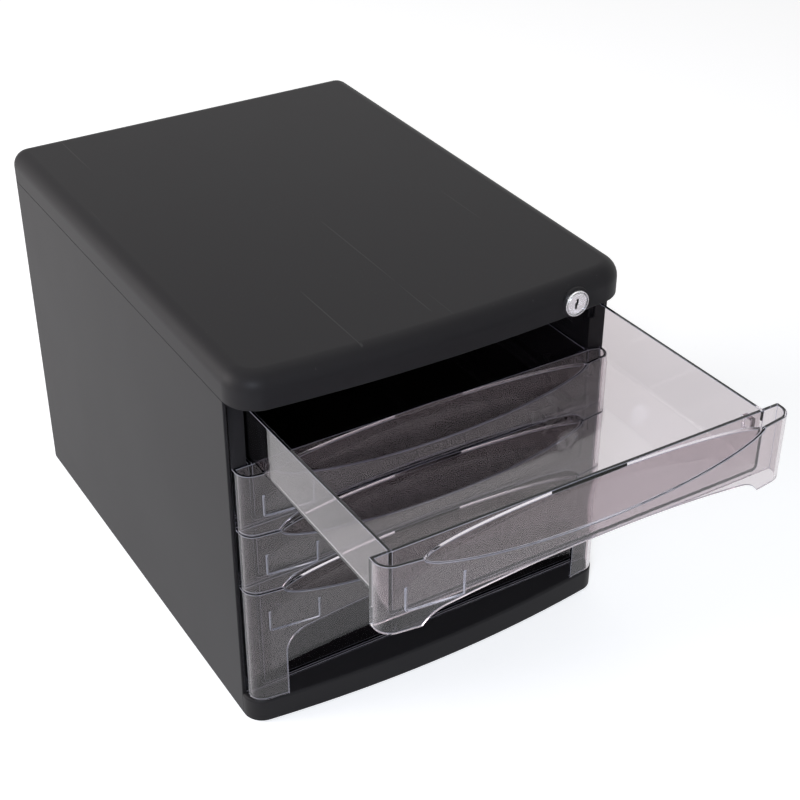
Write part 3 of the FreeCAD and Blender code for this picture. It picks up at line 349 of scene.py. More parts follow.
def turned(points: Sequence[Sequence[float]], centre: Vector, axis: Vector, sides: int = 64) -> Shape:
    """Turns a profile about an axis, as on a lathe.

    Args:
        points: Pairs of distance along the axis and radius, from end to end.
        centre: The point on the axis that the distances start from.
        axis: The direction of the axis.
        sides: How many sides the round has.

    Returns:
        The turned shape, closed if the profile starts and ends on the axis or at one point.
    """
    across = axis.orthogonal().normalized()
    mesh = bmesh.new()
    verts = []
    for along, radius in points:
        place = centre + axis * along + across * radius
        verts.append(bmesh.ops.create_vert(mesh, co=place)["vert"][0])
    for first, second in zip(verts, verts[1:]):
        bmesh.ops.contextual_create(mesh, geom=[first, second])
    bmesh.ops.spin(mesh, geom=mesh.verts[:] + mesh.edges[:], cent=centre, axis=axis,
                   angle=math.tau, steps=sides, use_merge=True)
    bmesh.ops.remove_doubles(mesh, verts=mesh.verts, dist=SAME * 10)
    bmesh.ops.recalc_face_normals(mesh, faces=mesh.faces)
    return Shape(mesh)


@dataclass(frozen=True)
class BowedPlan:
    """Plan of a moulding with a bowed front, seen from above.

    Attributes:
        half: Half its width.
        crown: Y of the foremost point of the bow.
        rear: Y of its straight rear side.
        rise: How far the bow falls back from its middle to its sides.
        front_radius: Radius of the front corners.
        rear_radius: Radius of the rear corners, or 0.
    """

    half: float
    crown: float
    rear: float
    rise: float
    front_radius: float
    rear_radius: float = 0.0

    @property
    def bow_radius(self) -> float:
        """Returns the radius of the bow."""
        return (self.half ** 2 + self.rise ** 2) / (2 * self.rise)

    def front_at(self, x: float) -> float:
        """Returns Y of the bow at x."""
        return self.crown + self.bow_radius - math.sqrt(self.bow_radius ** 2 - x * x)

    def face(self, inset: float, z: float, rear: float | None = None) -> Shape:
        """Draws the plan.

        Args:
            inset: How far the outline is drawn in, or out if negative.
            z: The height of the plan.
            rear: Another place for the rear side.

        Returns:
            A flat shape with the one face.
        """
        bow = self.bow_radius - inset
        corner = self.front_radius - inset
        half = self.half - inset
        centre_y = self.crown + self.bow_radius
        corner_x = half - corner
        corner_y = centre_y - math.sqrt((bow - corner) ** 2 - corner_x ** 2)
        lean = math.atan2(corner_x, centre_y - corner_y)
        back = self.rear - inset if rear is None else rear
        pen = Pen((-bow * math.sin(lean), centre_y - bow * math.cos(lean), z))
        pen.turn((0, centre_y, z), 2 * lean)
        pen.turn((corner_x, corner_y, z), math.pi / 2 - lean)
        if self.rear_radius:
            radius = self.rear_radius - inset
            pen.line((half, back - radius, z))
            pen.turn((half - radius, back - radius, z), math.pi / 2)
            pen.line((radius - half, back, z))
            pen.turn((radius - half, back - radius, z), math.pi / 2)
        else:
            pen.line((half, back, z))
            pen.line((-half, back, z))
        pen.line((-half, corner_y, z))
        pen.turn((-corner_x, corner_y, z), math.pi / 2 - lean)
        return pen.face()

    def solid(self, inset: float, low: float, high: float, edge: float = 0.0,
              rear: float | None = None) -> Shape:
        """Raises the plan into a block.

        Args:
            inset: How far the outline is drawn in.
            low: Z of its underside.
            high: Z of its top.
            edge: Radius of the edge round the top, or 0.
            rear: Another place for the rear side.

        Returns:
            The closed block.
        """
        shape = self.face(inset, low, rear).extrude(UP * (high - low))
        if not edge:
            return shape

        def on_top(item: bmesh.types.BMEdge) -> bool:
            """Tells whether an edge lies in the top, apart from an unrounded rear side.

            Args:
                item: The edge.

            Returns:
                Whether it is one to round.
            """
            first, second = (vert.co for vert in item.verts)
            level = min(first.z, second.z) > high - SAME
            at_rear = abs(first.y - second.y) < SAME and first.y > self.crown + self.half / 2
            return level and not (at_rear and not self.rear_radius)

        return shape.round_edges(on_top, edge, 8)


# Finishes


class Board:
    """Places and links the nodes of one material or node group."""

    def __init__(self, tree: bpy.types.NodeTree) -> None:
        """Takes a tree and empties it."""
        self.tree = tree
        tree.nodes.clear()

    def add(self, kind: str, settings: dict[str, object] | None = None,
            **inputs: object) -> bpy.types.Node:
        """Places a node.

        Args:
            kind: The node's type.
            settings: Its own settings, by their names.
            inputs: Values or sockets for its inputs, by their names with spaces as underscores.

        Returns:
            The node.
        """
        node = self.tree.nodes.new(kind)
        for name, value in (settings or {}).items():
            setattr(node, name, value)
        for name, value in inputs.items():
            self.feed(node.inputs[name.replace("_", " ")], value)
        return node

    def feed(self, socket: bpy.types.NodeSocket, value: object) -> None:
        """Links a socket to an output, or sets its value.

        Args:
            socket: The input.
            value: An output socket, or a plain value.
        """
        if isinstance(value, bpy.types.NodeSocket):
            self.tree.links.new(value, socket)
        else:
            socket.default_value = value

    def math(self, operation: str, first: object, second: object) -> bpy.types.NodeSocket:
        """Works out one value from two.

        Args:
            operation: What the node does with them.
            first: An output or a number.
            second: An output or a number.

        Returns:
            The output.
        """
        node = self.add("ShaderNodeMath", {"operation": operation})
        self.feed(node.inputs[0], first)
        self.feed(node.inputs[1], second)
        return node.outputs[0]

    def blend(self, factor: object, first: object, second: object) -> bpy.types.NodeSocket:
        """Mixes two colours.

        Args:
            factor: Share of the second.
            first: A colour or an output.
            second: A colour or an output.

        Returns:
            The mixed colour.
        """
        node = self.add("ShaderNodeMix", {"data_type": "RGBA"})
        self.feed(node.inputs["Factor"], factor)
        self.feed(node.inputs[6], first)
        self.feed(node.inputs[7], second)
        return node.outputs[2]

    def span(self, value: object, low: float, high: float) -> bpy.types.NodeSocket:
        """Stretches a value between 0 and 1 to a range.

        Args:
            value: The output to stretch.
            low: What 0 becomes.
            high: What 1 becomes.

        Returns:
            The stretched output.
        """
        return self.add("ShaderNodeMapRange", Value=value, To_Min=low, To_Max=high).outputs["Result"]

    def seen_rays(self) -> bpy.types.NodeSocket:
        """Tells the rays of the camera, of reflections and of refractions from those of soft light.

        Returns:
            An output that is 1 for the first three kinds and 0 for the rest.
        """
        rays = self.add("ShaderNodeLightPath").outputs
        sharp = self.math("MAXIMUM", rays["Is Glossy Ray"], rays["Is Transmission Ray"])
        return self.math("MAXIMUM", rays["Is Camera Ray"], sharp)


def group_tree(name: str, inputs: dict[str, float], outputs: Sequence[str]) -> Board:
    """Starts a node group that several finishes share.

    Args:
        name: The group's name.
        inputs: Its number inputs with their usual values, after the Vector input.
        outputs: Its number outputs.

    Returns:
        A board on the group's tree.
    """
    tree = bpy.data.node_groups.new(name, "ShaderNodeTree")
    board = Board(tree)
    tree.interface.new_socket("Vector", in_out="INPUT", socket_type="NodeSocketVector")
    for label, value in inputs.items():
        tree.interface.new_socket(label, in_out="INPUT", socket_type="NodeSocketFloat").default_value = value
    for label in outputs:
        tree.interface.new_socket(label, in_out="OUTPUT", socket_type="NodeSocketFloat")
    return board


def make_grain() -> bpy.types.NodeTree:
    """Makes the fine grain of a spark-eroded mould, with the slow flow of the melt under it.

    Returns:
        The node group, which puts out a height and a cloudy mask.
    """
    board = group_tree("mould grain", {"Grain Scale": 900.0, "Flow Scale": 9.0}, ["Height", "Clouds"])
    given = board.add("NodeGroupInput")
    grain = board.add("ShaderNodeTexNoise", Vector=given.outputs["Vector"],
                      Scale=given.outputs["Grain Scale"], Detail=3.0, Roughness=0.6)
    flow = board.add("ShaderNodeTexNoise", Vector=given.outputs["Vector"],
                     Scale=given.outputs["Flow Scale"], Detail=4.0, Roughness=0.55, Distortion=0.6)
    height = board.math("ADD", grain.outputs["Fac"], board.math("MULTIPLY", flow.outputs["Fac"], 0.5))
    board.add("NodeGroupOutput", Height=height, Clouds=flow.outputs["Fac"])
    return board.tree


def make_dust() -> bpy.types.NodeTree:
    """Makes the fine dust and hairline scuffs that settle on what faces up.

    Returns:
        The node group, which puts out a mask.
    """
    board = group_tree("dust and scuffs", {"Amount": 0.5}, ["Mask"])
    given = board.add("NodeGroupInput")
    specks = board.add("ShaderNodeTexVoronoi", {"feature": "F1"}, Vector=given.outputs["Vector"],
                       Scale=420.0)
    near = board.add("ShaderNodeMapRange", Value=specks.outputs["Distance"], From_Min=0.02, From_Max=0.09,
                     To_Min=1.0, To_Max=0.0)
    patches = board.add("ShaderNodeTexNoise", Vector=given.outputs["Vector"], Scale=26.0, Detail=5.0)
    settled = board.math("GREATER_THAN", patches.outputs["Fac"], 0.56)
    stretch = board.add("ShaderNodeMapping", Vector=given.outputs["Vector"], Scale=(260.0, 3.0, 260.0))
    scuffs = board.add("ShaderNodeTexNoise", Vector=stretch.outputs["Vector"], Scale=1.0, Detail=2.0)
    lines = board.math("GREATER_THAN", scuffs.outputs["Fac"], 0.73)
    upward = board.add("ShaderNodeSeparateXYZ", Vector=board.add("ShaderNodeNewGeometry").outputs["Normal"])
    facing = board.math("MAXIMUM", upward.outputs["Z"], 0.0)
    marks = board.math("ADD", board.math("MULTIPLY", near.outputs["Result"], settled),
                       board.math("MULTIPLY", lines, 0.25))
    mask = board.math("MULTIPLY", board.math("MULTIPLY", marks, facing), given.outputs["Amount"])
    board.add("NodeGroupOutput", Mask=mask)
    return board.tree


def make_streaks() -> bpy.types.NodeTree:
    """Makes the fine streaks of drawn or brushed metal.

    Returns:
        The node group, which puts out a height.
    """
    board = group_tree("drawn streaks", {"Along": 12.0, "Across": 2600.0}, ["Height"])
    given = board.add("NodeGroupInput")
    scale = board.add("ShaderNodeCombineXYZ", X=given.outputs["Along"], Y=given.outputs["Across"],
                      Z=given.outputs["Across"])
    stretch = board.add("ShaderNodeMapping", Vector=given.outputs["Vector"], Scale=scale.outputs[0])
    streaks = board.add("ShaderNodeTexNoise", Vector=stretch.outputs["Vector"], Scale=1.0, Detail=3.0)
    board.add("NodeGroupOutput", Height=streaks.outputs["Fac"])
    return board.tree


@dataclass(frozen=True)
class Effects:
    """The node groups that the finishes share."""

    grain: bpy.types.NodeTree
    dust: bpy.types.NodeTree
    streaks: bpy.types.NodeTree

    @classmethod
    def make(cls) -> "Effects":
        """Returns the groups, newly made."""
        return cls(make_grain(), make_dust(), make_streaks())


class Finish:
    """A finish that makes its own material."""

    slot: Slot

    def start(self, name: str) -> tuple[bpy.types.Material, Board, bpy.types.NodeSocket]:
        """Starts a material.

        Args:
            name: The material's name.

        Returns:
            The material, a board on its tree and the object coordinates.
        """
        material = bpy.data.materials.new(name)
        material.use_nodes = True
        board = Board(material.node_tree)
        return material, board, board.add("ShaderNodeTexCoord").outputs["Object"]


@dataclass(frozen=True)
class MouldedPlastic(Finish):
    """Satin plastic with the grain of its mould, a little flow and fine dust.

    Attributes:
        slot: The record's slot.
        colour: Its colour.
        flow_colour: Its colour where the melt flowed thicker.
        roughness: Its least roughness.
        roughness_spread: How much rougher the clouds make it.
        specular: The strength of its reflection at right angles.
        grain_depth: The depth of the grain, in metres.
        dust: How much dust lies on it.
        dust_roughness: How much rougher the dust makes it.
    """

    slot: Slot
    colour: Colour = (0.0165, 0.0155, 0.0165, 1)
    flow_colour: Colour = (0.0215, 0.02, 0.021, 1)
    roughness: float = 0.42
    roughness_spread: float = 0.08
    specular: float = 0.1
    grain_depth: float = 0.00001
    dust: float = 0.35
    dust_roughness: float = 0.3

    def make(self, effects: Effects) -> bpy.types.Material:
        """Makes the material.

        Args:
            effects: The shared node groups.

        Returns:
            The material.
        """
        material, board, place = self.start(self.slot.value)
        grain = board.add("ShaderNodeGroup", {"node_tree": effects.grain}, Vector=place)
        dust = board.add("ShaderNodeGroup", {"node_tree": effects.dust}, Vector=place, Amount=self.dust)
        plain = board.blend(grain.outputs["Clouds"], self.colour, self.flow_colour)
        dusty = board.blend(dust.outputs["Mask"], plain, DUST_COLOUR)
        clouds = board.span(grain.outputs["Clouds"], self.roughness, self.roughness + self.roughness_spread)
        dulled = board.math("MULTIPLY", dust.outputs["Mask"], self.dust_roughness)
        rough = board.math("ADD", clouds, dulled)
        bump = board.add("ShaderNodeBump", Height=grain.outputs["Height"], Strength=0.35,
                         Distance=self.grain_depth)
        shader = board.add("ShaderNodeBsdfPrincipled", Base_Color=dusty, Roughness=rough,
                           Normal=bump.outputs["Normal"], Specular_IOR_Level=self.specular)
        board.add("ShaderNodeOutputMaterial", Surface=shader.outputs["BSDF"])
        return material


@dataclass(frozen=True)
class ClearPlastic(Finish):
    """Clear, lightly smoked plastic. Shadows and scattered light pass straight through it.

    Attributes:
        slot: The record's slot.
        tint: The colour that a wall gives to what is behind it.
        deep_tint: The same where the smoke in the plastic is thicker.
        shadow: What it leaves of the light that passes straight.
        roughness: Its least roughness.
        roughness_spread: How much rougher the clouds make it.
        refraction: Its index.
        specular: The strength of its reflection at right angles.
    """

    slot: Slot = Slot.CLEAR
    tint: Colour = (0.74, 0.69, 0.7, 1)
    deep_tint: Colour = (0.7, 0.655, 0.68, 1)
    shadow: Colour = (0.9, 0.89, 0.9, 1)
    roughness: float = 0.015
    roughness_spread: float = 0.02
    refraction: float = 1.4
    specular: float = 0.5

    def make(self, effects: Effects) -> bpy.types.Material:
        """Makes the material.

        Args:
            effects: The shared node groups.

        Returns:
            The material.
        """
        material, board, place = self.start(self.slot.value)
        grain = board.add("ShaderNodeGroup", {"node_tree": effects.grain}, Vector=place, Flow_Scale=14.0)
        rough = board.span(grain.outputs["Clouds"], self.roughness, self.roughness + self.roughness_spread)
        smoke = board.blend(grain.outputs["Clouds"], self.tint, self.deep_tint)
        shader = board.add("ShaderNodeBsdfPrincipled", Base_Color=smoke, Roughness=rough,
                           Transmission_Weight=1.0, IOR=self.refraction, Specular_IOR_Level=self.specular)
        through = board.add("ShaderNodeBsdfTransparent", Color=self.shadow)
        rays = board.add("ShaderNodeLightPath").outputs
        straight = board.math("MAXIMUM", rays["Is Shadow Ray"], rays["Is Diffuse Ray"])
        mixed = board.add("ShaderNodeMixShader")
        board.feed(mixed.inputs[0], straight)
        board.feed(mixed.inputs[1], shader.outputs["BSDF"])
        board.feed(mixed.inputs[2], through.outputs["BSDF"])
        board.add("ShaderNodeOutputMaterial", Surface=mixed.outputs["Shader"])
        return material


@dataclass(frozen=True)
class PaintedEdgeHighlight(Finish):
    """Painted highlight on the rounded edges of the clear mouldings: a pale colour that stands in for the
    light they gather and shine out.

    Attributes:
        slot: The record's slot.
        light: Its colour where it shines, a painted highlight.
        deep: Its colour where it draws in the blue-violet of the wall behind it, a painted reflection.
        clearness: How much of it still lets light through.
        roughness: Its least roughness.
        roughness_spread: How much rougher the clouds make it.
    """

    slot: Slot = Slot.CLEAR
    light: Colour = (0.86, 0.86, 0.9, 1)
    deep: Colour = (0.36, 0.36, 0.5, 1)
    clearness: float = 0.6
    roughness: float = 0.1
    roughness_spread: float = 0.15

    def make(self, effects: Effects) -> bpy.types.Material:
        """Makes the material.

        Args:
            effects: The shared node groups.

        Returns:
            The material.
        """
        material, board, place = self.start(f"{self.slot.value}_edge")
        grain = board.add("ShaderNodeGroup", {"node_tree": effects.grain}, Vector=place, Flow_Scale=40.0)
        # Painted highlight: the clouds mix the pale highlight colour with the painted blue-violet
        # reflection.
        colour = board.blend(grain.outputs["Clouds"], self.light, self.deep)
        rough = board.span(grain.outputs["Clouds"], self.roughness, self.roughness + self.roughness_spread)
        shader = board.add("ShaderNodeBsdfPrincipled", Base_Color=colour, Roughness=rough,
                           Transmission_Weight=self.clearness, IOR=1.4, Specular_IOR_Level=0.5)
        board.add("ShaderNodeOutputMaterial", Surface=shader.outputs["BSDF"])
        return material


@dataclass(frozen=True)
class PlatedMetal(Finish):
    """Plated metal with fine streaks under the plating.

    Attributes:
        slot: The record's slot.
        colour: Its colour.
        stain: Its colour where the plating has dulled.
        roughness: Its least roughness.
        roughness_spread: How much rougher the clouds make it.
        streak_depth: The depth of the streaks, in metres.
        along: How often the streaks change along X.
        across: How often they change across it.
    """

    slot: Slot
    colour: Colour
    stain: Colour
    roughness: float
    roughness_spread: float = 0.12
    streak_depth: float = 0.00001
    along: float = 12.0
    across: float = 2600.0

    def make(self, effects: Effects) -> bpy.types.Material:
        """Makes the material.

        Args:
            effects: The shared node groups.

        Returns:
            The material.
        """
        material, board, place = self.start(self.slot.value)
        grain = board.add("ShaderNodeGroup", {"node_tree": effects.grain}, Vector=place, Flow_Scale=90.0)
        streaks = board.add("ShaderNodeGroup", {"node_tree": effects.streaks}, Vector=place,
                            Along=self.along, Across=self.across)
        colour = board.blend(grain.outputs["Clouds"], self.colour, self.stain)
        bump = board.add("ShaderNodeBump", Height=streaks.outputs["Height"], Strength=0.3,
                         Distance=self.streak_depth)
        rough = board.span(grain.outputs["Clouds"], self.roughness, self.roughness + self.roughness_spread)
        shader = board.add("ShaderNodeBsdfPrincipled", Base_Color=colour, Roughness=rough,
                           Normal=bump.outputs["Normal"], Metallic=1.0)
        board.add("ShaderNodeOutputMaterial", Surface=shader.outputs["BSDF"])
        return material


class Palette:
    """The materials of the object: one for each slot of the record, and a second one for some, which carries
    a painted highlight or painted shade.
    """

    def __init__(self) -> None:
        """Makes every material once."""
        effects = Effects.make()
        finishes = [
            MouldedPlastic(Slot.CASE),
            MouldedPlastic(Slot.INNER, roughness=0.5, dust=0.1),
            MouldedPlastic(Slot.RUBBER, colour=(0.03, 0.03, 0.03, 1), flow_colour=(0.04, 0.04, 0.04, 1),
                           roughness=0.75, grain_depth=0.00005),
            ClearPlastic(),
            PlatedMetal(Slot.CHROME, (0.78, 0.78, 0.79, 1), (0.7, 0.7, 0.71, 1), roughness=0.2),
            PlatedMetal(Slot.STEEL, (0.56, 0.57, 0.58, 1), (0.48, 0.49, 0.47, 1), roughness=0.32),
        ]
        self.materials = {finish.slot: finish.make(effects) for finish in finishes}
        # Second materials: a painted highlight on the clear edges, and black plastic as painted shade in the
        # lock's gap.
        self.seconds = {Slot.CLEAR: PaintedEdgeHighlight().make(effects), Slot.CHROME: self.materials[Slot.INNER]}

    def dress(self, piece: bpy.types.Object, slot: Slot, body: str, *nodes: str) -> bpy.types.Object:
        """Gives a new piece its finish and its body.

        Args:
            piece: The piece.
            slot: The record's slot of its finish.
            body: The body that it rides on.
            nodes: The nodes that it replaces.

        Returns:
            The piece.
        """
        piece.data.materials.clear()
        piece.data.materials.append(self.materials[slot])
        if slot in self.seconds:
            piece.data.materials.append(self.seconds[slot])
        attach(piece, body)
        if nodes:
            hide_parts(*nodes)
        log.info("%s: %d faces on %s", piece.name, len(piece.data.polygons), body)
        return piece

    def dress_node(self, name: str) -> None:
        """Gives a carried-over node the material of its slot.

        Args:
            name: The node's name.
        """
        slots = {part["node"]: Slot(part["material_slot"]) for part in frame["record"]["subparts"]}
        node = frame["nodes"][name]
        node.data.materials.clear()
        node.data.materials.append(self.materials[slots[name]])
        log.info("%s: carried over as %s", name, slots[name].value)


# Sub-assemblies


@dataclass(frozen=True)
class CaseLevels:
    """Places that the pieces of the case share, read from the frame.

    Attributes:
        half: Half the width of the case.
        front: Y of the side panels' front.
        back: Y of the back.
        low: Z of the panels' lower edge.
        panel_top: Z of the panels' top, where the cover starts.
        floor_top: Z of the base's floor.
        wall: Thickness of the panels.
        corner: Radius of the rear corners.
        block_gap: From the outside to where the panels' blocks and flanges end.
        return_gap: From the outside to where the panels' rear returns end.
        screw_inset: From the panels' front and back to the case screws.
        screw_radius: Radius of the screw holes.
    """

    half: float
    front: float
    back: float
    low: float
    panel_top: float
    floor_top: float = 0.0085
    wall: float = 0.003
    corner: float = 0.0115
    block_gap: float = 0.0123
    return_gap: float = 0.0125
    screw_inset: float = 0.0475
    screw_radius: float = 0.0016

    @classmethod
    def read(cls) -> "CaseLevels":
        """Returns the levels, read from the right side panel's box."""
        low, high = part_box("right_side_panel")
        return cls(half=high.x, front=low.y, back=high.y, low=low.z, panel_top=high.z)

    @property
    def inside(self) -> float:
        """Returns X of the panels' inner face."""
        return self.half - self.wall

    @property
    def block_inside(self) -> float:
        """Returns X where the panels' blocks and flanges end."""
        return self.half - self.block_gap

    @property
    def return_end(self) -> float:
        """Returns X where the panels' rear returns end."""
        return self.half - self.return_gap

    @property
    def screw_x(self) -> float:
        """Returns X of the case screws."""
        return (self.block_inside + self.inside) / 2

    @property
    def screw_ys(self) -> tuple[float, float]:
        """Returns Y of the front and rear case screws."""
        return self.front + self.screw_inset, self.back - self.screw_inset


@dataclass(frozen=True)
class LockPlace:
    """Where the lock sits, read from its housing in the frame.

    Attributes:
        x: X of its axis.
        z: Z of its axis.
        front: Y of the ring's front.
        back: Y of the barrel's end.
        ring_radius: Radius of the ring.
        ring_thickness: How far the ring stands off its pad.
    """

    x: float
    z: float
    front: float
    back: float
    ring_radius: float
    ring_thickness: float = 0.002

    @classmethod
    def read(cls) -> "LockPlace":
        """Reads the place from the housing's box.

        Returns:
            The place.
        """
        low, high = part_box("lock_housing")
        return cls(x=(low.x + high.x) / 2, z=(low.z + high.z) / 2, front=low.y, back=high.y,
                   ring_radius=(high.x - low.x) / 2)

    @property
    def pad(self) -> float:
        """Returns Y of the pad that the ring sits on."""
        return self.front + self.ring_thickness

    def at(self, y: float) -> Vector:
        """Returns the point of the axis at y."""
        return Vector((self.x, y, self.z))


@dataclass
class TopCover:
    """Bowed cover: a shell with rounded edges, a pad for the lock, and its inner bosses."""

    levels: CaseLevels
    lock: LockPlace
    wall: float = 0.003
    bow_rise: float = 0.0077
    front_corner: float = 0.021
    edge: float = 0.011
    rim_softness: float = 0.0005
    boss_radius: float = 0.004
    pad_radius: float = 0.00975
    pad_proud: float = 0.0005
    seat_depth: float = 0.0081
    barrel_hole: float = 0.00715
    block_x: float = 0.08
    block_width: float = 0.01
    block_depth: float = 0.0095
    block_hang: float = 0.0095
    saddle_x: float = 0.106
    saddle_half: float = 0.004
    saddle_wall: float = 0.0019
    bar_gap: float = 0.0003
    keeper_screw_y: float = 0.009
    keeper_boss: float = 0.0035
    screw_depth: float = 0.01

    def plan(self) -> BowedPlan:
        """Draws up the cover's plan, as large as its box.

        Returns:
            The plan.
        """
        low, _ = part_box("top_cover")
        return BowedPlan(self.levels.half, low.y, self.levels.back, self.bow_rise, self.front_corner,
                         self.levels.corner)

    def shell(self) -> Shape:
        """Makes the shell with its rounded edge.

        Returns:
            The shell, open below.
        """
        plan = self.plan()
        low = self.levels.panel_top
        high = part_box("top_cover")[1].z
        outer = plan.solid(0, low, high, self.edge)
        outer.round_edges(lambda edge: all(vert.co.z < low + SAME for vert in edge.verts),
                          self.rim_softness, 2)
        inner = plan.solid(self.wall, low - PAST, high - self.wall, self.edge - self.wall)
        return outer.cut(inner)

    def bosses(self) -> list[Shape]:
        """Makes the bosses, the rear blocks, the lock's seat and the bar's saddle.

        Returns:
            The shapes, each reaching into the cover's top.
        """
        levels = self.levels
        low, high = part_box("top_cover")
        top = high.z - self.wall / 2
        shapes = [Shape.rod((side.value * levels.screw_x, y, levels.panel_top),
                            UP * (top - levels.panel_top), self.boss_radius, 24)
                  for side in Side for y in levels.screw_ys]
        rear = levels.back - self.wall
        for side in Side:
            x = side.value * self.block_x
            shapes.append(Shape.block((x - self.block_width / 2, rear - self.block_depth, low.z),
                                      (x + self.block_width / 2, rear, top)))
        seat = self.lock.at(self.lock.pad + self.pad_proud)
        shapes.append(Shape.rod(seat, BACKWARD * (self.seat_depth - self.pad_proud), self.pad_radius, 64))
        keeper_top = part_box("lock_bar_keeper")[1].z
        bar_low, bar_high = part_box("lock_bar")
        wall = self.saddle_wall
        shapes.append(Shape.block((self.saddle_x - self.saddle_half, bar_low.y - wall, keeper_top),
                                  (self.saddle_x + self.saddle_half, bar_high.y + wall, top)))
        for y in self.keeper_ys():
            shapes.append(Shape.rod((self.saddle_x, y, keeper_top), UP * (top - keeper_top),
                                    self.keeper_boss, 24))
        return shapes

    def keeper_ys(self) -> list[float]:
        """Places the keeper's two screws either side of the bar.

        Returns:
            Y of each.
        """
        low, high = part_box("lock_bar")
        middle = (low.y + high.y) / 2
        return [middle - self.keeper_screw_y, middle + self.keeper_screw_y]

    def holes(self) -> list[Shape]:
        """Makes what is cut out of the cover.

        Returns:
            The spot face, the barrel's hole, the screw holes and the bar's slot.
        """
        levels, lock = self.levels, self.lock
        shapes = [Shape.rod(lock.at(lock.pad - self.wall), BACKWARD * self.wall, self.pad_radius, 64),
                  Shape.rod(lock.at(lock.pad - self.wall), BACKWARD * (self.seat_depth + self.wall * 2),
                            self.barrel_hole, 64)]
        depth = UP * self.screw_depth
        for side in Side:
            for y in levels.screw_ys:
                shapes.append(Shape.rod((side.value * levels.screw_x, y, levels.panel_top - SAME), depth,
                                        levels.screw_radius, 24))
        for y in self.keeper_ys():
            shapes.append(Shape.rod((self.saddle_x, y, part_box("lock_bar_keeper")[1].z - SAME), depth,
                                    levels.screw_radius, 24))
        bar_low, bar_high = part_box("lock_bar")
        gap = self.bar_gap
        shapes.append(Shape.block((self.saddle_x - self.saddle_half * 2, bar_low.y - gap,
                                   levels.panel_top - PAST),
                                  (self.saddle_x + self.saddle_half * 2, bar_high.y + gap,
                                   bar_high.z + gap)))
        for side in Side:
            x = side.value * self.block_x
            y = levels.back - self.wall - self.block_depth + PAST
            shapes.append(Shape.rod((x, y, levels.panel_top - self.block_hang / 2),
                                    BACKWARD * self.block_depth, levels.screw_radius, 24))
        return shapes

    def lock_pad(self) -> Shape:
        """Makes the flat pad round the lock, which ends at the cover's lower edge.

        Returns:
            The pad, reaching into the front wall.
        """
        lock = self.lock
        disc = Shape.rod(lock.at(lock.pad), BACKWARD * (self.pad_proud + self.wall / 2), self.pad_radius, 64)
        reach = self.pad_radius * 2
        limit = Shape.block((lock.x - reach, lock.pad - self.wall, self.levels.panel_top),
                            (lock.x + reach, lock.pad + self.wall, lock.z + reach))
        return disc.join(Join.SHARE, [limit])

    def build(self, palette: Palette) -> None:
        """Builds and dresses the cover.

        Args:
            palette: The materials.
        """
        low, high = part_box("top_cover")
        half_wall = self.wall / 2
        within = self.plan().solid(half_wall, low.z, high.z - half_wall, self.edge - half_wall)
        inside = [shape.join(Join.SHARE, [within]) for shape in self.bosses()]
        whole = self.shell().add(*inside, self.lock_pad()).cut(*self.holes())
        palette.dress(whole.piece("cover_shell", 0.0003), Slot.CASE, "cabinet", "top_cover")


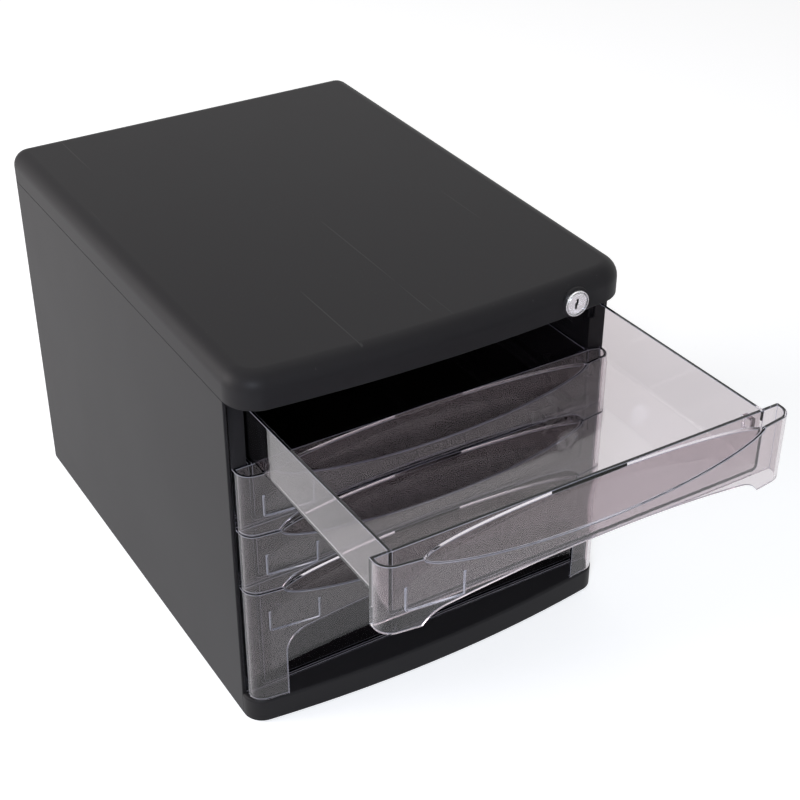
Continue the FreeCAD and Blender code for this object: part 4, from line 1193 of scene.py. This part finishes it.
@dataclass
class SidePanels:
    """The two side panels, with their front flanges, shelves, guides, stops and screw blocks."""

    levels: CaseLevels
    flange: float = 0.0022
    tray_half: float = 0.1194
    shelf_bearing: float = 0.0054
    shelf_thickness: float = 0.0022
    shelf_inset: float = 0.0395
    shelf_end_inset: float = 0.002
    runner_gap: float = 0.0003
    guide_gap: float = 0.0004
    guide_thickness: float = 0.002
    guide_height: float = 0.004
    tray_lift: float = 0.002
    stop_rise: float = 0.006
    stop_height: float = 0.008
    stop_length: float = 0.005
    stop_setback: float = 0.0175
    lug_way_rise: float = 0.0195
    lug_way_height: float = 0.009
    lug_way_reach: float = 0.0038
    tab_width: float = 0.012
    tab_thickness: float = 0.003
    block_height: float = 0.0075
    screw_depth: float = 0.0065
    edge_softness: float = 0.0007

    def wall(self) -> Shape:
        """Makes the right panel's wall with its rounded rear corner and return.

        Returns:
            The closed wall.
        """
        levels = self.levels
        thick = levels.wall
        bend = levels.corner
        low = levels.low
        pen = Pen((levels.half, levels.front, low))
        pen.line((levels.half, levels.back - bend, low))
        pen.turn((levels.half - bend, levels.back - bend, low), math.pi / 2)
        pen.line((levels.return_end, levels.back, low))
        pen.line((levels.return_end, levels.back - thick, low))
        pen.line((levels.half - bend, levels.back - thick, low))
        pen.turn((levels.half - bend, levels.back - bend, low), -math.pi / 2)
        pen.line((levels.inside, levels.front, low))
        wall = pen.face().extrude(UP * (levels.panel_top - low))

        def front_corner(edge: bmesh.types.BMEdge) -> bool:
            """Tells whether an edge is the outer upright edge at the front.

            Args:
                edge: The edge.

            Returns:
                Whether it is one to round.
            """
            return all(vert.co.y < levels.front + SAME and vert.co.x > levels.half - SAME
                       for vert in edge.verts)

        return wall.round_edges(front_corner, self.edge_softness, 3)

    def inner_work(self, bottoms: Sequence[float], tray_rear: float) -> list[Shape]:
        """Makes the flange, the shelves, the guides, the stops and the screw blocks.

        Args:
            bottoms: Z of the drawers' lower edges.
            tray_rear: Y of the closed trays' rear.

        Returns:
            The shapes, each reaching into the wall.
        """
        levels = self.levels
        wall_in = levels.inside + levels.wall / 2
        inner = levels.block_inside
        shapes = [Shape.block((inner, levels.front, levels.floor_top + self.runner_gap),
                              (wall_in, levels.front + self.flange, levels.panel_top - SAME))]
        shelf_front = levels.front + self.shelf_inset
        shelf_rear = tray_rear - self.shelf_end_inset
        for bottom in bottoms:
            tray = bottom + self.tray_lift
            shelf = tray - self.runner_gap
            guide = self.tray_half + self.guide_gap
            stop_z = tray + self.stop_rise
            stop_y = levels.front + self.stop_setback
            shapes.append(Shape.block((self.tray_half - self.shelf_bearing, shelf_front,
                                       shelf - self.shelf_thickness), (wall_in, shelf_rear, shelf)))
            shapes.append(Shape.block((guide, shelf_front, shelf - PAST),
                                      (guide + self.guide_thickness, shelf_rear,
                                       shelf + self.guide_height)))
            shapes.append(Shape.block((inner, stop_y, stop_z),
                                      (wall_in, stop_y + self.stop_length, stop_z + self.stop_height)))
        for y in levels.screw_ys:
            half = self.tab_width / 2
            shapes.append(Shape.block((inner, y - half, levels.panel_top - self.tab_thickness),
                                      (wall_in, y + half, levels.panel_top - SAME)))
            shapes.append(Shape.block((inner, y - half, levels.floor_top),
                                      (wall_in, y + half, levels.floor_top + self.block_height)))
        return shapes

    def holes(self) -> list[Shape]:
        """Makes the screw holes.

        Returns:
            One rod for each tab and each block.
        """
        levels = self.levels
        shapes = []
        for y in levels.screw_ys:
            for z in (levels.panel_top - self.tab_thickness - PAST, levels.floor_top - PAST):
                shapes.append(Shape.rod((levels.screw_x, y, z), UP * self.screw_depth,
                                        levels.screw_radius, 24))
        return shapes

    def lug_ways(self, bottoms: Sequence[float]) -> list[Shape]:
        """Makes the notches in the right flange that the drawers' lock lugs pass.

        Args:
            bottoms: Z of the drawers' lower edges.

        Returns:
            One block for each drawer.
        """
        levels = self.levels
        ways = []
        for bottom in bottoms:
            low = bottom + self.tray_lift + self.lug_way_rise
            ways.append(Shape.block((levels.block_inside - PAST, levels.front - PAST, low),
                                    (levels.block_inside + self.lug_way_reach,
                                     levels.front + self.flange + PAST, low + self.lug_way_height)))
        return ways

    def build(self, palette: Palette) -> None:
        """Builds and dresses both panels.

        Args:
            palette: The materials.
        """
        names = ("top_drawer", "second_drawer", "third_drawer", "deep_drawer")
        bottoms = [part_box(name)[0].z for name in names]
        tray_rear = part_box("second_drawer")[1].y
        plain = self.wall().add(*self.inner_work(bottoms, tray_rear)).cut(*self.holes())
        right = plain.cut(*self.lug_ways(bottoms))
        left = plain.mirrored()
        palette.dress(right.piece("panel_right", 0.0003), Slot.CASE, "cabinet", "right_side_panel")
        palette.dress(left.piece("panel_left", 0.0003), Slot.CASE, "cabinet", "left_side_panel")


@dataclass
class BackPanel:
    """Panel let in between the side panels' rear returns, with sunk screw places."""

    levels: CaseLevels
    fit: float = 0.0003
    wall: float = 0.003
    lap_width: float = 0.01
    recess_radius: float = 0.0032
    recess_depth: float = 0.0018
    screw_x: float = 0.08
    head_radius: float = 0.0028

    def build(self, palette: Palette) -> None:
        """Builds and dresses the panel.

        Args:
            palette: The materials.
        """
        low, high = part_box("back_panel")
        edge = self.levels.return_end - self.fit
        lap_end = high.x
        back = high.y
        lap_face = back - self.levels.wall - self.fit
        right = [(edge, back), (edge, lap_face), (lap_end, lap_face), (lap_end, low.y),
                 (lap_end - self.lap_width, low.y), (lap_end - self.lap_width, back - self.wall)]
        corners = right + [(-x, y) for x, y in reversed(right)]
        panel = prism(corners, low.z, high.z)
        screw_low, screw_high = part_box("back_panel_screws")
        holes = []
        for side in Side:
            for z in (screw_low.z + self.head_radius, screw_high.z - self.head_radius):
                place = Vector((side.value * self.screw_x, back, z))
                holes.append(Shape.rod(place + BACKWARD * PAST, -BACKWARD * (self.recess_depth + PAST),
                                       self.recess_radius, 32))
                holes.append(Shape.rod(place + BACKWARD * PAST, -BACKWARD * (self.wall + PAST * 2),
                                       self.levels.screw_radius, 24))
        palette.dress(panel.cut(*holes).piece("rear_panel", 0.0003), Slot.CASE, "cabinet", "back_panel")


@dataclass
class Base:
    """Base with its bowed plinth, its floor and rim, and pockets for the feet."""

    levels: CaseLevels
    plinth_top: float = 0.0182
    plinth_wall: float = 0.0025
    bow_rise: float = 0.0096
    plinth_corner: float = 0.013
    plinth_edge: float = 0.002
    rim_softness: float = 0.0004
    rim: float = 0.0025
    floor_low: float = 0.006
    foot_radius: float = 0.007
    foot_fit: float = 0.00015
    boss_wall: float = 0.00285
    foot_height: float = 0.003
    fit: float = 0.0003
    block_x: float = 0.08
    block_width: float = 0.01
    block_depth: float = 0.0095
    rib_rise: float = 0.0015
    rib_half: float = 0.0008
    rib_places: tuple[float, ...] = (-0.5, 0.0, 0.5)
    head_hole: float = 0.0032

    def plinth(self) -> Shape:
        """Makes the bowed plinth, hollow below and open at the back.

        Returns:
            The plinth.
        """
        levels = self.levels
        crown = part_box("base")[0].y
        plan = BowedPlan(levels.half, crown, levels.front + self.plinth_corner, self.bow_rise,
                         self.plinth_corner)
        outer = plan.solid(0, levels.low, self.plinth_top, self.plinth_edge)
        outer.round_edges(lambda edge: all(vert.co.z < levels.low + SAME for vert in edge.verts),
                          self.rim_softness, 2)
        behind = Shape.block((-levels.half - PAST, levels.front, 0),
                             (levels.half + PAST, levels.front + self.plinth_corner * 2,
                              self.plinth_top * 2))
        inner = plan.solid(self.plinth_wall, levels.low - PAST, self.plinth_top - self.plinth_wall)
        return outer.cut(behind, inner)

    def floor(self) -> Shape:
        """Makes the floor with its rim, which fits between the panels and their rear returns.

        Returns:
            The floor, hollow below.
        """
        levels = self.levels

        def tray(inset: float, low: float, high: float) -> Shape:
            """Raises the floor's plan into a block.

            Args:
                inset: How far the plan is drawn in.
                low: Z of the underside.
                high: Z of the top.

            Returns:
                The closed block.
            """
            side = levels.inside - self.fit - inset
            step = levels.return_end - self.fit - inset
            shoulder = levels.back - levels.corner - self.fit - inset
            front = levels.front - self.plinth_wall / 2 + inset
            rear = levels.back - inset
            corners = [(side, front), (side, shoulder), (step, shoulder), (step, rear),
                       (-step, rear), (-step, shoulder), (-side, shoulder), (-side, front)]
            return prism(corners, low, high)

        return tray(0, levels.low, levels.floor_top).cut(tray(self.rim, levels.low - PAST, self.floor_low))

    def ribs(self) -> list[Shape]:
        """Makes the crossed ribs that stiffen the floor from below.

        Returns:
            The ribs, each reaching into the floor and the rim.
        """
        levels = self.levels
        low = levels.low + self.rib_rise
        top = self.floor_low + PAST / 2
        half = self.rib_half
        reach = levels.inside - self.rim
        middle = (levels.front + levels.back) / 2
        depth = (levels.back - levels.front) / 2
        across = [Shape.block((-reach, middle + share * depth - half, low),
                              (reach, middle + share * depth + half, top)) for share in self.rib_places]
        along = [Shape.block((share * reach - half, levels.front + PAST, low),
                             (share * reach + half, levels.back - self.rim, top))
                 for share in self.rib_places]
        return across + along

    def build(self, palette: Palette) -> None:
        """Builds and dresses the base.

        Args:
            palette: The materials.
        """
        levels = self.levels
        low = levels.low
        wall = self.plinth_wall
        bar = Shape.block((wall / 2 - levels.half, levels.front - wall, low + SAME),
                          (levels.half - wall / 2, levels.front - SAME, self.plinth_top - wall / 2))
        shapes = [bar, self.floor(), *self.ribs()]
        holes = []
        for name in Feet.names:
            foot_low, foot_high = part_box(name)
            middle = (foot_low + foot_high) / 2
            pocket = self.foot_radius + self.foot_fit
            shapes.append(Shape.rod((middle.x, middle.y, low + SAME), UP * (self.floor_low + PAST - low),
                                    pocket + self.boss_wall, 40))
            holes.append(Shape.rod((middle.x, middle.y, 0), UP * self.foot_height, pocket, 40))
        base_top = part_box("base")[1].z
        for side in Side:
            x = side.value * self.block_x
            rear = levels.back - levels.wall
            shapes.append(Shape.block((x - self.block_width / 2, rear - self.block_depth,
                                       self.floor_low + PAST), (x + self.block_width / 2, rear, base_top)))
            for y in levels.screw_ys:
                holes.append(Shape.rod((side.value * levels.screw_x, y, 0), UP * self.floor_low,
                                       self.head_hole, 24))
        whole = self.plinth().add(*shapes).cut(*holes)
        palette.dress(whole.piece("base_moulding", 0.0003), Slot.CASE, "cabinet", "base")


@dataclass
class Feet:
    """The four rubber feet, each turned with a soft rim and a shallow ring in its underside."""

    bevel: float = 0.0008
    ring: float = 0.0042
    ring_width: float = 0.0008
    ring_depth: float = 0.0004
    names = ("foot_front_left", "foot_front_right", "foot_rear_left", "foot_rear_right")

    def build(self, palette: Palette) -> None:
        """Builds and dresses the feet.

        Args:
            palette: The materials.
        """
        for name in self.names:
            low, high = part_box(name)
            radius = (high.x - low.x) / 2
            height = high.z - low.z
            inner = self.ring - self.ring_width
            profile = [(0, 0), (0, inner), (self.ring_depth, inner + self.ring_width / 4),
                       (self.ring_depth, self.ring - self.ring_width / 4), (0, self.ring),
                       (0, radius - self.bevel), (self.bevel * 0.3, radius - self.bevel * 0.3),
                       (self.bevel, radius), (height - SAME, radius), (height - SAME, 0)]
            centre = Vector(((low.x + high.x) / 2, (low.y + high.y) / 2, low.z))
            shape = turned(profile, centre, UP, 48)
            palette.dress(shape.piece(f"{name}_pad"), Slot.RUBBER, "cabinet", name)


@dataclass(frozen=True)
class ArchSizes:
    """The finger arch in a drawer's face.

    Attributes:
        crown: Depth of its middle below the drawer's top.
        shoulder_rise: Height of the shoulders above the lower edge.
        leg: Width of the face left beside it at the lower edge.
        shoulder: Width of the tighter curve at each end.
        upright: Whether the curve ends upright, above a straight leg.
    """

    crown: float
    shoulder_rise: float
    leg: float
    shoulder: float = 0.0135
    upright: bool = False


@dataclass
class Drawer:
    """One clear drawer: a tray with a flat front wall and a bowed, hollow face.

    Attributes:
        height: Height of the face.
        arch: The finger arch.
    """

    height: float
    arch: ArchSizes
    half: float = 0.13
    face_depth: float = 0.0218
    bow_rise: float = 0.0096
    corner: float = 0.0095
    face_wall: float = 0.002
    front_wall: float = 0.0022
    scoop_inset: float = 0.022
    scoop_depth: float = 0.013
    scoop_sheet: float = 0.0021
    scoop_hollow: float = 0.0016
    scoop_spread: float = math.radians(86)
    scoop_start: float = 0.85
    scoop_proud: float = 0.0001
    label_inset: float = 0.012
    label_width: float = 0.0325
    label_height: float = 0.015
    label_drop: float = 0.0145
    label_line: float = 0.001
    label_proud: float = 0.0008
    label_radius: float = 0.002
    tray_half: float = 0.1194
    tray_length: float = 0.3195
    tray_wall: float = 0.002
    tray_lift: float = 0.002
    tray_radius: float = 0.003
    rim_drop: float = 0.0005
    rim_fall: float = 0.008
    lug_reach: float = 0.0041
    lug_height: float = 0.008
    stop_y: float = 0.2431
    stop_rise: float = 0.006
    stop_length: float = 0.005
    lock_y: float = 0.008
    lock_rise: float = 0.02
    lock_length: float = 0.006

    @property
    def plan(self) -> BowedPlan:
        """Returns the plan of the face, with the rear of the front wall at 0."""
        return BowedPlan(self.half, -self.face_depth, 0.0, self.bow_rise, self.corner)

    def arch_cutter(self) -> Shape:
        """Draws the finger arch and pulls it through the face.

        Returns:
            The closed shape, which ends before the front wall.
        """
        far = -self.face_depth - PAST
        foot = self.half - self.arch.leg
        shoulder = foot - self.arch.shoulder
        crown = self.height - self.arch.crown
        shoulder_z = self.arch.shoulder_rise
        rise = crown - shoulder_z
        radius = (shoulder ** 2 + rise ** 2) / (2 * rise)
        slope = math.asin(shoulder / radius)
        out = Vector((math.sin(slope), 0, math.cos(slope)))
        if self.arch.upright:
            bend = math.pi / 2 - slope
            small = self.arch.shoulder / (1 - math.sin(slope))
        else:
            bend = 2 * (math.atan2(shoulder_z, self.arch.shoulder) - slope)
            small = math.hypot(self.arch.shoulder, shoulder_z) / (2 * math.sin(bend / 2))
        right_centre = Vector((shoulder, far, shoulder_z)) - out * small
        left_centre = Vector((-right_centre.x, far, right_centre.z))
        foot_z = right_centre.z + small * math.cos(slope + bend)
        pen = Pen((foot, far, -PAST), BACKWARD)
        if self.arch.upright:
            pen.line((foot, far, foot_z))
        else:
            pen.line((foot, far, 0))
        pen.turn(right_centre, -bend)
        pen.turn((0, far, crown - radius), -2 * slope)
        pen.turn(left_centre, -bend)
        pen.line((-foot, far, -PAST))
        pen.line((foot, far, -PAST))
        depth = -far - self.front_wall - self.face_wall / 2
        return pen.face().extrude(BACKWARD * depth)

    def scoop_sheet_mesh(self) -> bmesh.types.BMesh:
        """Lays the scoop's sheet: a grid from the front wall's top down to the bowed face.

        Returns:
            The sheet, open all round, with its smooth side up and forward.
        """
        tip_x = self.half - self.scoop_inset
        tip_y = self.plan.front_at(tip_x)
        top_y = -self.front_wall * self.scoop_start
        mesh = bmesh.new()
        bmesh.ops.create_grid(mesh, x_segments=72, y_segments=10, size=1.0)
        for vert in mesh.verts:
            angle = vert.co.x * self.scoop_spread
            down = (1 - vert.co.y) / 2
            share = math.cos(angle)
            x = tip_x * math.sin(angle)
            high = Vector((x, tip_y + (top_y - tip_y) * share, self.height))
            low = Vector((x, self.plan.front_at(x) + self.scoop_proud,
                          self.height - self.scoop_depth * share))
            hollow = self.scoop_hollow * share * math.sin(math.pi * down)
            vert.co = high.lerp(low, down) + HOLLOW_WAY * hollow
        bmesh.ops.recalc_face_normals(mesh, faces=mesh.faces)
        if sum(face.normal.z for face in mesh.faces) < 0:
            bmesh.ops.reverse_faces(mesh, faces=mesh.faces)
        return mesh

    def scoop_cutter(self) -> Shape:
        """Makes the space in front of the scoop's sheet, which the face leaves free."""
        return Shape(self.scoop_sheet_mesh()).extrude(Vector((0, -self.face_depth, self.face_depth / 4)))

    def scoop(self) -> Shape:
        """Thickens the scoop's sheet downwards."""
        return Shape(self.scoop_sheet_mesh()).extrude(-UP * self.scoop_sheet)

    def label(self) -> Shape:
        """Makes the thin raised frame for a paper label: left, lower and right lines.

        Returns:
            The frame, reaching into the face.
        """
        far = -self.face_depth - PAST
        left = self.label_inset - self.half
        top = self.height - self.label_drop
        low = top - self.label_height
        reach = BACKWARD * self.face_depth

        def rounded(inset: float, high: float) -> Shape:
            """Pulls the outline of the label through the face.

            Args:
                inset: How far the outline is drawn in.
                high: Z of its top.

            Returns:
                The closed shape.
            """
            x0, x1 = left + inset, left + self.label_width - inset
            z0 = low + inset
            radius = self.label_radius - inset
            pen = Pen((x0, far, high), BACKWARD)
            pen.line((x0, far, z0 + radius))
            pen.turn((x0 + radius, far, z0 + radius), -math.pi / 2)
            pen.line((x1 - radius, far, z0))
            pen.turn((x1 - radius, far, z0 + radius), -math.pi / 2)
            pen.line((x1, far, high))
            pen.line((x0, far, high))
            return pen.face().extrude(reach)

        band = rounded(0.0, top).cut(rounded(self.label_line, top + PAST))
        skin = self.plan.solid(-self.label_proud, 0, self.height, rear=0.0)
        core = self.plan.solid(self.face_wall / 3, -PAST, self.height + PAST, rear=PAST)
        return skin.cut(core).join(Join.SHARE, [band])

    def tray(self) -> Shape:
        """Makes the open tray behind the front wall.

        Returns:
            The tray, open in front and at the top.
        """

        def box(inset: float, low: float, high: float, radius: float) -> Shape:
            """Makes a block with rounded lower and rear edges.

            Args:
                inset: How far its sides and rear are drawn in.
                low: Z of the underside.
                high: Z of the top.
                radius: The radius of the edges.

            Returns:
                The closed block.
            """
            half = self.tray_half - inset
            rear = self.tray_length - inset
            shape = Shape.block((-half, -self.front_wall / 2, low), (half, rear, high))

            def rounded(edge: bmesh.types.BMEdge) -> bool:
                """Tells whether an edge is low or at a rear corner, and not in front.

                Args:
                    edge: The edge.

                Returns:
                    Whether it is one to round.
                """
                first, second = (vert.co for vert in edge.verts)
                if (first.y + second.y) / 2 < 0:
                    return False
                lowest = max(first.z, second.z) < low + SAME
                upright = abs(first.z - second.z) > SAME
                return lowest or upright

            return shape.round_edges(rounded, radius, 5)

        rim = self.height - self.rim_drop
        outer = box(0.0, self.tray_lift, rim, self.tray_radius)
        inner = box(self.tray_wall, self.tray_lift + self.tray_wall, rim + PAST,
                    self.tray_radius - self.tray_wall / 2)
        pen = Pen((-self.half, 0, rim), Vector((1, 0, 0)))
        pen.line((-self.half, self.tray_length + PAST, rim - self.rim_fall))
        pen.line((-self.half, self.tray_length + PAST, rim + PAST))
        pen.line((-self.half, 0, rim + PAST))
        pen.line((-self.half, 0, rim))
        wedge = pen.face().extrude(Vector((2 * self.half, 0, 0)))
        return outer.cut(inner, wedge)

    def lugs(self) -> list[Shape]:
        """Makes the stop lugs near the rear and the lug that the lock bar blocks.

        Returns:
            The lugs, each reaching into a side wall.
        """
        root = self.tray_half - self.tray_wall / 2
        end = self.tray_half + self.lug_reach

        def lug(side: Side, y: float, rise: float, length: float) -> Shape:
            """Makes one lug.

            Args:
                side: The side wall that carries it.
                y: Where it starts.
                rise: Its height above the tray's underside.
                length: Its length along the wall.

            Returns:
                The lug.
            """
            low = self.tray_lift + rise
            xs = sorted((side.value * root, side.value * end))
            return Shape.block((xs[0], y, low), (xs[1], y + length, low + self.lug_height))

        stops = [lug(side, self.stop_y, self.stop_rise, self.stop_length) for side in Side]
        return [*stops, lug(Side.RIGHT, self.lock_y, self.lock_rise, self.lock_length)]

    def shape(self) -> Shape:
        """Makes the drawer with the rear of its front wall at Y 0 and its lower edge at Z 0.

        Returns:
            The drawer as one moulding.
        """
        outer = self.plan.solid(0, 0, self.height)
        hollow = self.plan.solid(self.face_wall, -PAST, self.height + PAST, rear=-self.front_wall)
        face = outer.cut(hollow, self.scoop_cutter(), self.arch_cutter())
        return face.add(self.scoop(), self.label(), self.tray(), *self.lugs())


@dataclass
class DrawerStack:
    """The four drawers: three of one kind and a deep one."""

    shallow_arch: ArchSizes = ArchSizes(crown=0.0225, shoulder_rise=0.009, leg=0.0215)
    deep_arch: ArchSizes = ArchSizes(crown=0.0235, shoulder_rise=0.05, leg=0.0225, upright=True)
    softness: float = 0.00025

    def build(self, palette: Palette) -> None:
        """Builds and dresses the drawers, each where its node is.

        Args:
            palette: The materials.
        """
        low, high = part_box("second_drawer")
        shallow = Drawer(high.z - low.z, self.shallow_arch).shape()
        low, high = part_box("deep_drawer")
        deep = Drawer(high.z - low.z, self.deep_arch).shape()
        kinds = {"top_drawer": shallow, "second_drawer": shallow, "third_drawer": shallow,
                 "deep_drawer": deep}
        for name, kind in kinds.items():
            low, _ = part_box(name)
            place = (0, low.y + Drawer.face_depth, low.z)
            # The small edge roundings take the second material, a painted highlight.
            piece = kind.moved(place).piece(f"{name}_moulding", self.softness, edge_material=1)
            palette.dress(piece, Slot.CLEAR, f"{name}_body", name)


@dataclass
class Lock:
    """The cam lock's face: a bright ring, a gap dark with painted shade, and the plug's head with its dogleg
    keyway.
    """

    place: LockPlace
    barrel_radius: float = 0.007
    bore: float = 0.00555
    gap: float = 0.0011
    gap_depth: float = 0.0017
    lip: float = 0.0005
    head_radius: float = 0.0068
    head_depth: float = 0.0014
    plug_radius: float = 0.0055
    plug_recess: float = 0.0002
    plug_chamfer: float = 0.0003
    keyway_width: float = 0.0015
    keyway_half: float = 0.0033
    keyway_jog: float = 0.0009
    keyway_depth: float = 0.014
    tail: float = 0.0025
    tail_half: float = 0.002
    sides: int = 96

    def housing(self) -> Shape:
        """Turns the housing with its rounded ring and the recess for the plug's head.

        Returns:
            The closed housing.
        """
        place = self.place
        ring = place.ring_radius
        length = place.back - place.front
        lip = self.lip
        inner = self.head_radius + self.gap
        profile = [(self.gap_depth, self.bore), (self.gap_depth, self.head_radius), (self.gap_depth, inner),
                   (lip * 0.4, inner), (lip * 0.1, inner + lip * 0.15), (0, inner + lip * 0.4),
                   (0, ring - lip * 1.1), (lip * 0.2, ring - lip * 0.5), (lip * 0.7, ring - lip * 0.1),
                   (lip * 1.3, ring), (place.ring_thickness, ring),
                   (place.ring_thickness, self.barrel_radius), (length, self.barrel_radius),
                   (length, self.bore), (self.gap_depth, self.bore)]
        return turned(profile, place.at(place.front), BACKWARD, self.sides)

    def plug(self) -> Shape:
        """Turns the plug and cuts its keyway.

        Returns:
            The plug with its square tail.
        """
        place = self.place
        front = place.front + self.plug_recess
        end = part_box("lock_plug")[1].y
        body_end = end - self.tail
        chamfer = self.plug_chamfer
        profile = [(0, 0), (0, self.head_radius - chamfer), (chamfer, self.head_radius),
                   (self.head_depth, self.head_radius), (self.head_depth, self.plug_radius),
                   (body_end - front, self.plug_radius), (body_end - front, 0)]
        barrel = turned(profile, place.at(front), BACKWARD, self.sides)
        half = self.tail_half
        square = Shape.block((place.x - half, body_end - PAST, place.z - half),
                             (place.x + half, end, place.z + half))
        width = self.keyway_width / 2
        ends = (front - PAST, front + self.keyway_depth)
        upper = Shape.block((place.x - width, ends[0], place.z - width),
                            (place.x + width, ends[1], place.z + self.keyway_half))
        jog = self.keyway_jog
        lower = Shape.block((place.x - width - jog, ends[0], place.z - self.keyway_half),
                            (place.x + width - jog, ends[1], place.z + width))
        return barrel.add(square).cut(upper, lower)

    def paint_gap_shade(self, shape: Shape) -> Shape:
        """Paints shade into the gap round the plug's head: its faces get the piece's second material, the
        black inner plastic.

        Args:
            shape: The housing or the plug.

        Returns:
            The same shape.
        """
        place = self.place
        for face in shape.mesh.faces:
            middle = face.calc_center_median()
            radius = math.hypot(middle.x - place.x, middle.z - place.z)
            in_gap = self.head_radius - SIDE_SAG < radius < self.head_radius + self.gap + SIDE_SAG
            if in_gap and middle.y > place.front + self.lip:
                face.material_index = 1
        return shape

    def build(self, palette: Palette) -> None:
        """Builds and dresses the lock's face.

        Args:
            palette: The materials.
        """
        # The gap round the plug's head carries painted shade on both pieces.
        housing = self.paint_gap_shade(self.housing()).piece("lock_ring")
        palette.dress(housing, Slot.CHROME, "cabinet", "lock_housing")
        plug = self.paint_gap_shade(self.plug()).piece("lock_plug_face", 0.00012)
        palette.dress(plug, Slot.CHROME, "plug", "lock_plug")


@dataclass
class Hardware:
    """The metal and plastic pieces that keep their shape from the frame."""

    names: tuple[str, ...] = ("lock_nut", "lock_cam", "cam_pin", "lock_bar", "lock_bar_keeper",
                              "keeper_screws", "foot_guide", "foot_guide_screw", "cover_screws",
                              "base_screws", "back_panel_screws")

    def build(self, palette: Palette) -> None:
        """Dresses the carried-over nodes.

        Args:
            palette: The materials.
        """
        for name in self.names:
            palette.dress_node(name)


# Studio


@dataclass(frozen=True)
class AreaLight:
    """A square softbox.

    Attributes:
        name: Its name.
        place: Where it stands.
        aim: What it points at.
        size: Its side.
        power: Its power in watts.
        colour: Its colour.
    """

    name: str
    place: tuple[float, float, float]
    aim: tuple[float, float, float]
    size: float
    power: float
    colour: tuple[float, float, float] = (1, 1, 1)

    def build(self) -> None:
        """Puts the light into the scene."""
        data = bpy.data.lights.new(self.name, "AREA")
        data.size = self.size
        data.energy = self.power
        data.color = self.colour
        light = bpy.data.objects.new(self.name, data)
        light.location = self.place
        way = Vector(self.aim) - Vector(self.place)
        light.rotation_euler = way.to_track_quat("-Z", "Y").to_euler()
        bpy.context.scene.collection.objects.link(light)


@dataclass
class Studio:
    """Pale floor, white surroundings, soft light and the camera of the photograph."""

    camera_place: tuple[float, float, float] = (-0.4211, -0.7384, 0.7041)
    camera_way: tuple[float, float, float] = (0.4357, 0.7135, -0.5487)
    camera_roll: float = 0.225
    focal_length: float = 70.49
    floor_size: float = 12.0
    floor_colour: Colour = (0.8, 0.8, 0.8, 1)
    floor_glow: float = 0.6
    sky_for_light: float = 0.2
    aim: tuple[float, float, float] = (0.0, 0.05, 0.15)

    def build_floor(self) -> None:
        """Lays the floor, which is white to the camera but keeps the shadow."""
        mesh = bmesh.new()
        bmesh.ops.create_grid(mesh, x_segments=1, y_segments=1, size=self.floor_size / 2)
        data = bpy.data.meshes.new("studio_floor")
        mesh.to_mesh(data)
        floor = bpy.data.objects.new("studio_floor", data)
        bpy.context.scene.collection.objects.link(floor)
        material = bpy.data.materials.new("studio_floor")
        material.use_nodes = True
        board = Board(material.node_tree)
        glow = board.math("MULTIPLY", board.seen_rays(), self.floor_glow)
        shader = board.add("ShaderNodeBsdfPrincipled", Base_Color=self.floor_colour, Roughness=1.0,
                           Specular_IOR_Level=0.0, Emission_Color=(1, 1, 1, 1), Emission_Strength=glow)
        board.add("ShaderNodeOutputMaterial", Surface=shader.outputs["BSDF"])
        data.materials.append(material)

    def build_sky(self) -> None:
        """Surrounds the scene with white, dimmer where it only lights."""
        world = bpy.data.worlds.new("studio")
        world.use_nodes = True
        board = Board(world.node_tree)
        strength = board.span(board.seen_rays(), self.sky_for_light, 1.0)
        sky = board.add("ShaderNodeBackground", Color=(1, 1, 1, 1), Strength=strength)
        board.add("ShaderNodeOutputWorld", Surface=sky.outputs["Background"])
        bpy.context.scene.world = world

    def build_camera(self) -> None:
        """Sets up the camera at the photograph's viewing angle."""
        data = bpy.data.cameras.new("camera")
        data.lens = self.focal_length
        data.sensor_width = 36.0
        data.sensor_fit = "HORIZONTAL"
        data.clip_start = 0.05
        data.clip_end = 50.0
        camera = bpy.data.objects.new("camera", data)
        turn = Vector(self.camera_way).to_track_quat("-Z", "Y").to_matrix().to_4x4()
        roll = Matrix.Rotation(math.radians(self.camera_roll), 4, "Z")
        camera.matrix_world = Matrix.Translation(self.camera_place) @ turn @ roll
        bpy.context.scene.collection.objects.link(camera)
        bpy.context.scene.camera = camera

    def build(self) -> None:
        """Builds the floor, the sky, the lights and the camera."""
        bpy.context.scene.view_settings.view_transform = "Standard"
        self.build_floor()
        self.build_sky()
        self.build_camera()
        AreaLight("softbox_left", (-1.7, 0.9, 0.75), self.aim, size=1.2, power=34.0,
                  colour=(1.0, 0.96, 0.955)).build()
        AreaLight("softbox_front", (-0.9, -1.2, 1.0), self.aim, size=0.4, power=15.0,
                  colour=(0.78, 0.86, 1.0)).build()
        AreaLight("softbox_top", (0.3, 0.3, 1.9), self.aim, size=1.4, power=5.2).build()


def main() -> None:
    """Builds the looks of the whole object."""
    palette = Palette()
    levels = CaseLevels.read()
    place = LockPlace.read()
    Studio().build()
    assemblies = [TopCover(levels, place), SidePanels(levels), BackPanel(levels), Base(levels), Feet(),
                  DrawerStack(), Lock(place), Hardware()]
    for assembly in assemblies:
        assembly.build(palette)
        log.info("%s is built", type(assembly).__name__)


if __name__ == "__main__":
    logging.basicConfig(level=logging.INFO, format="%(message)s")
    main()
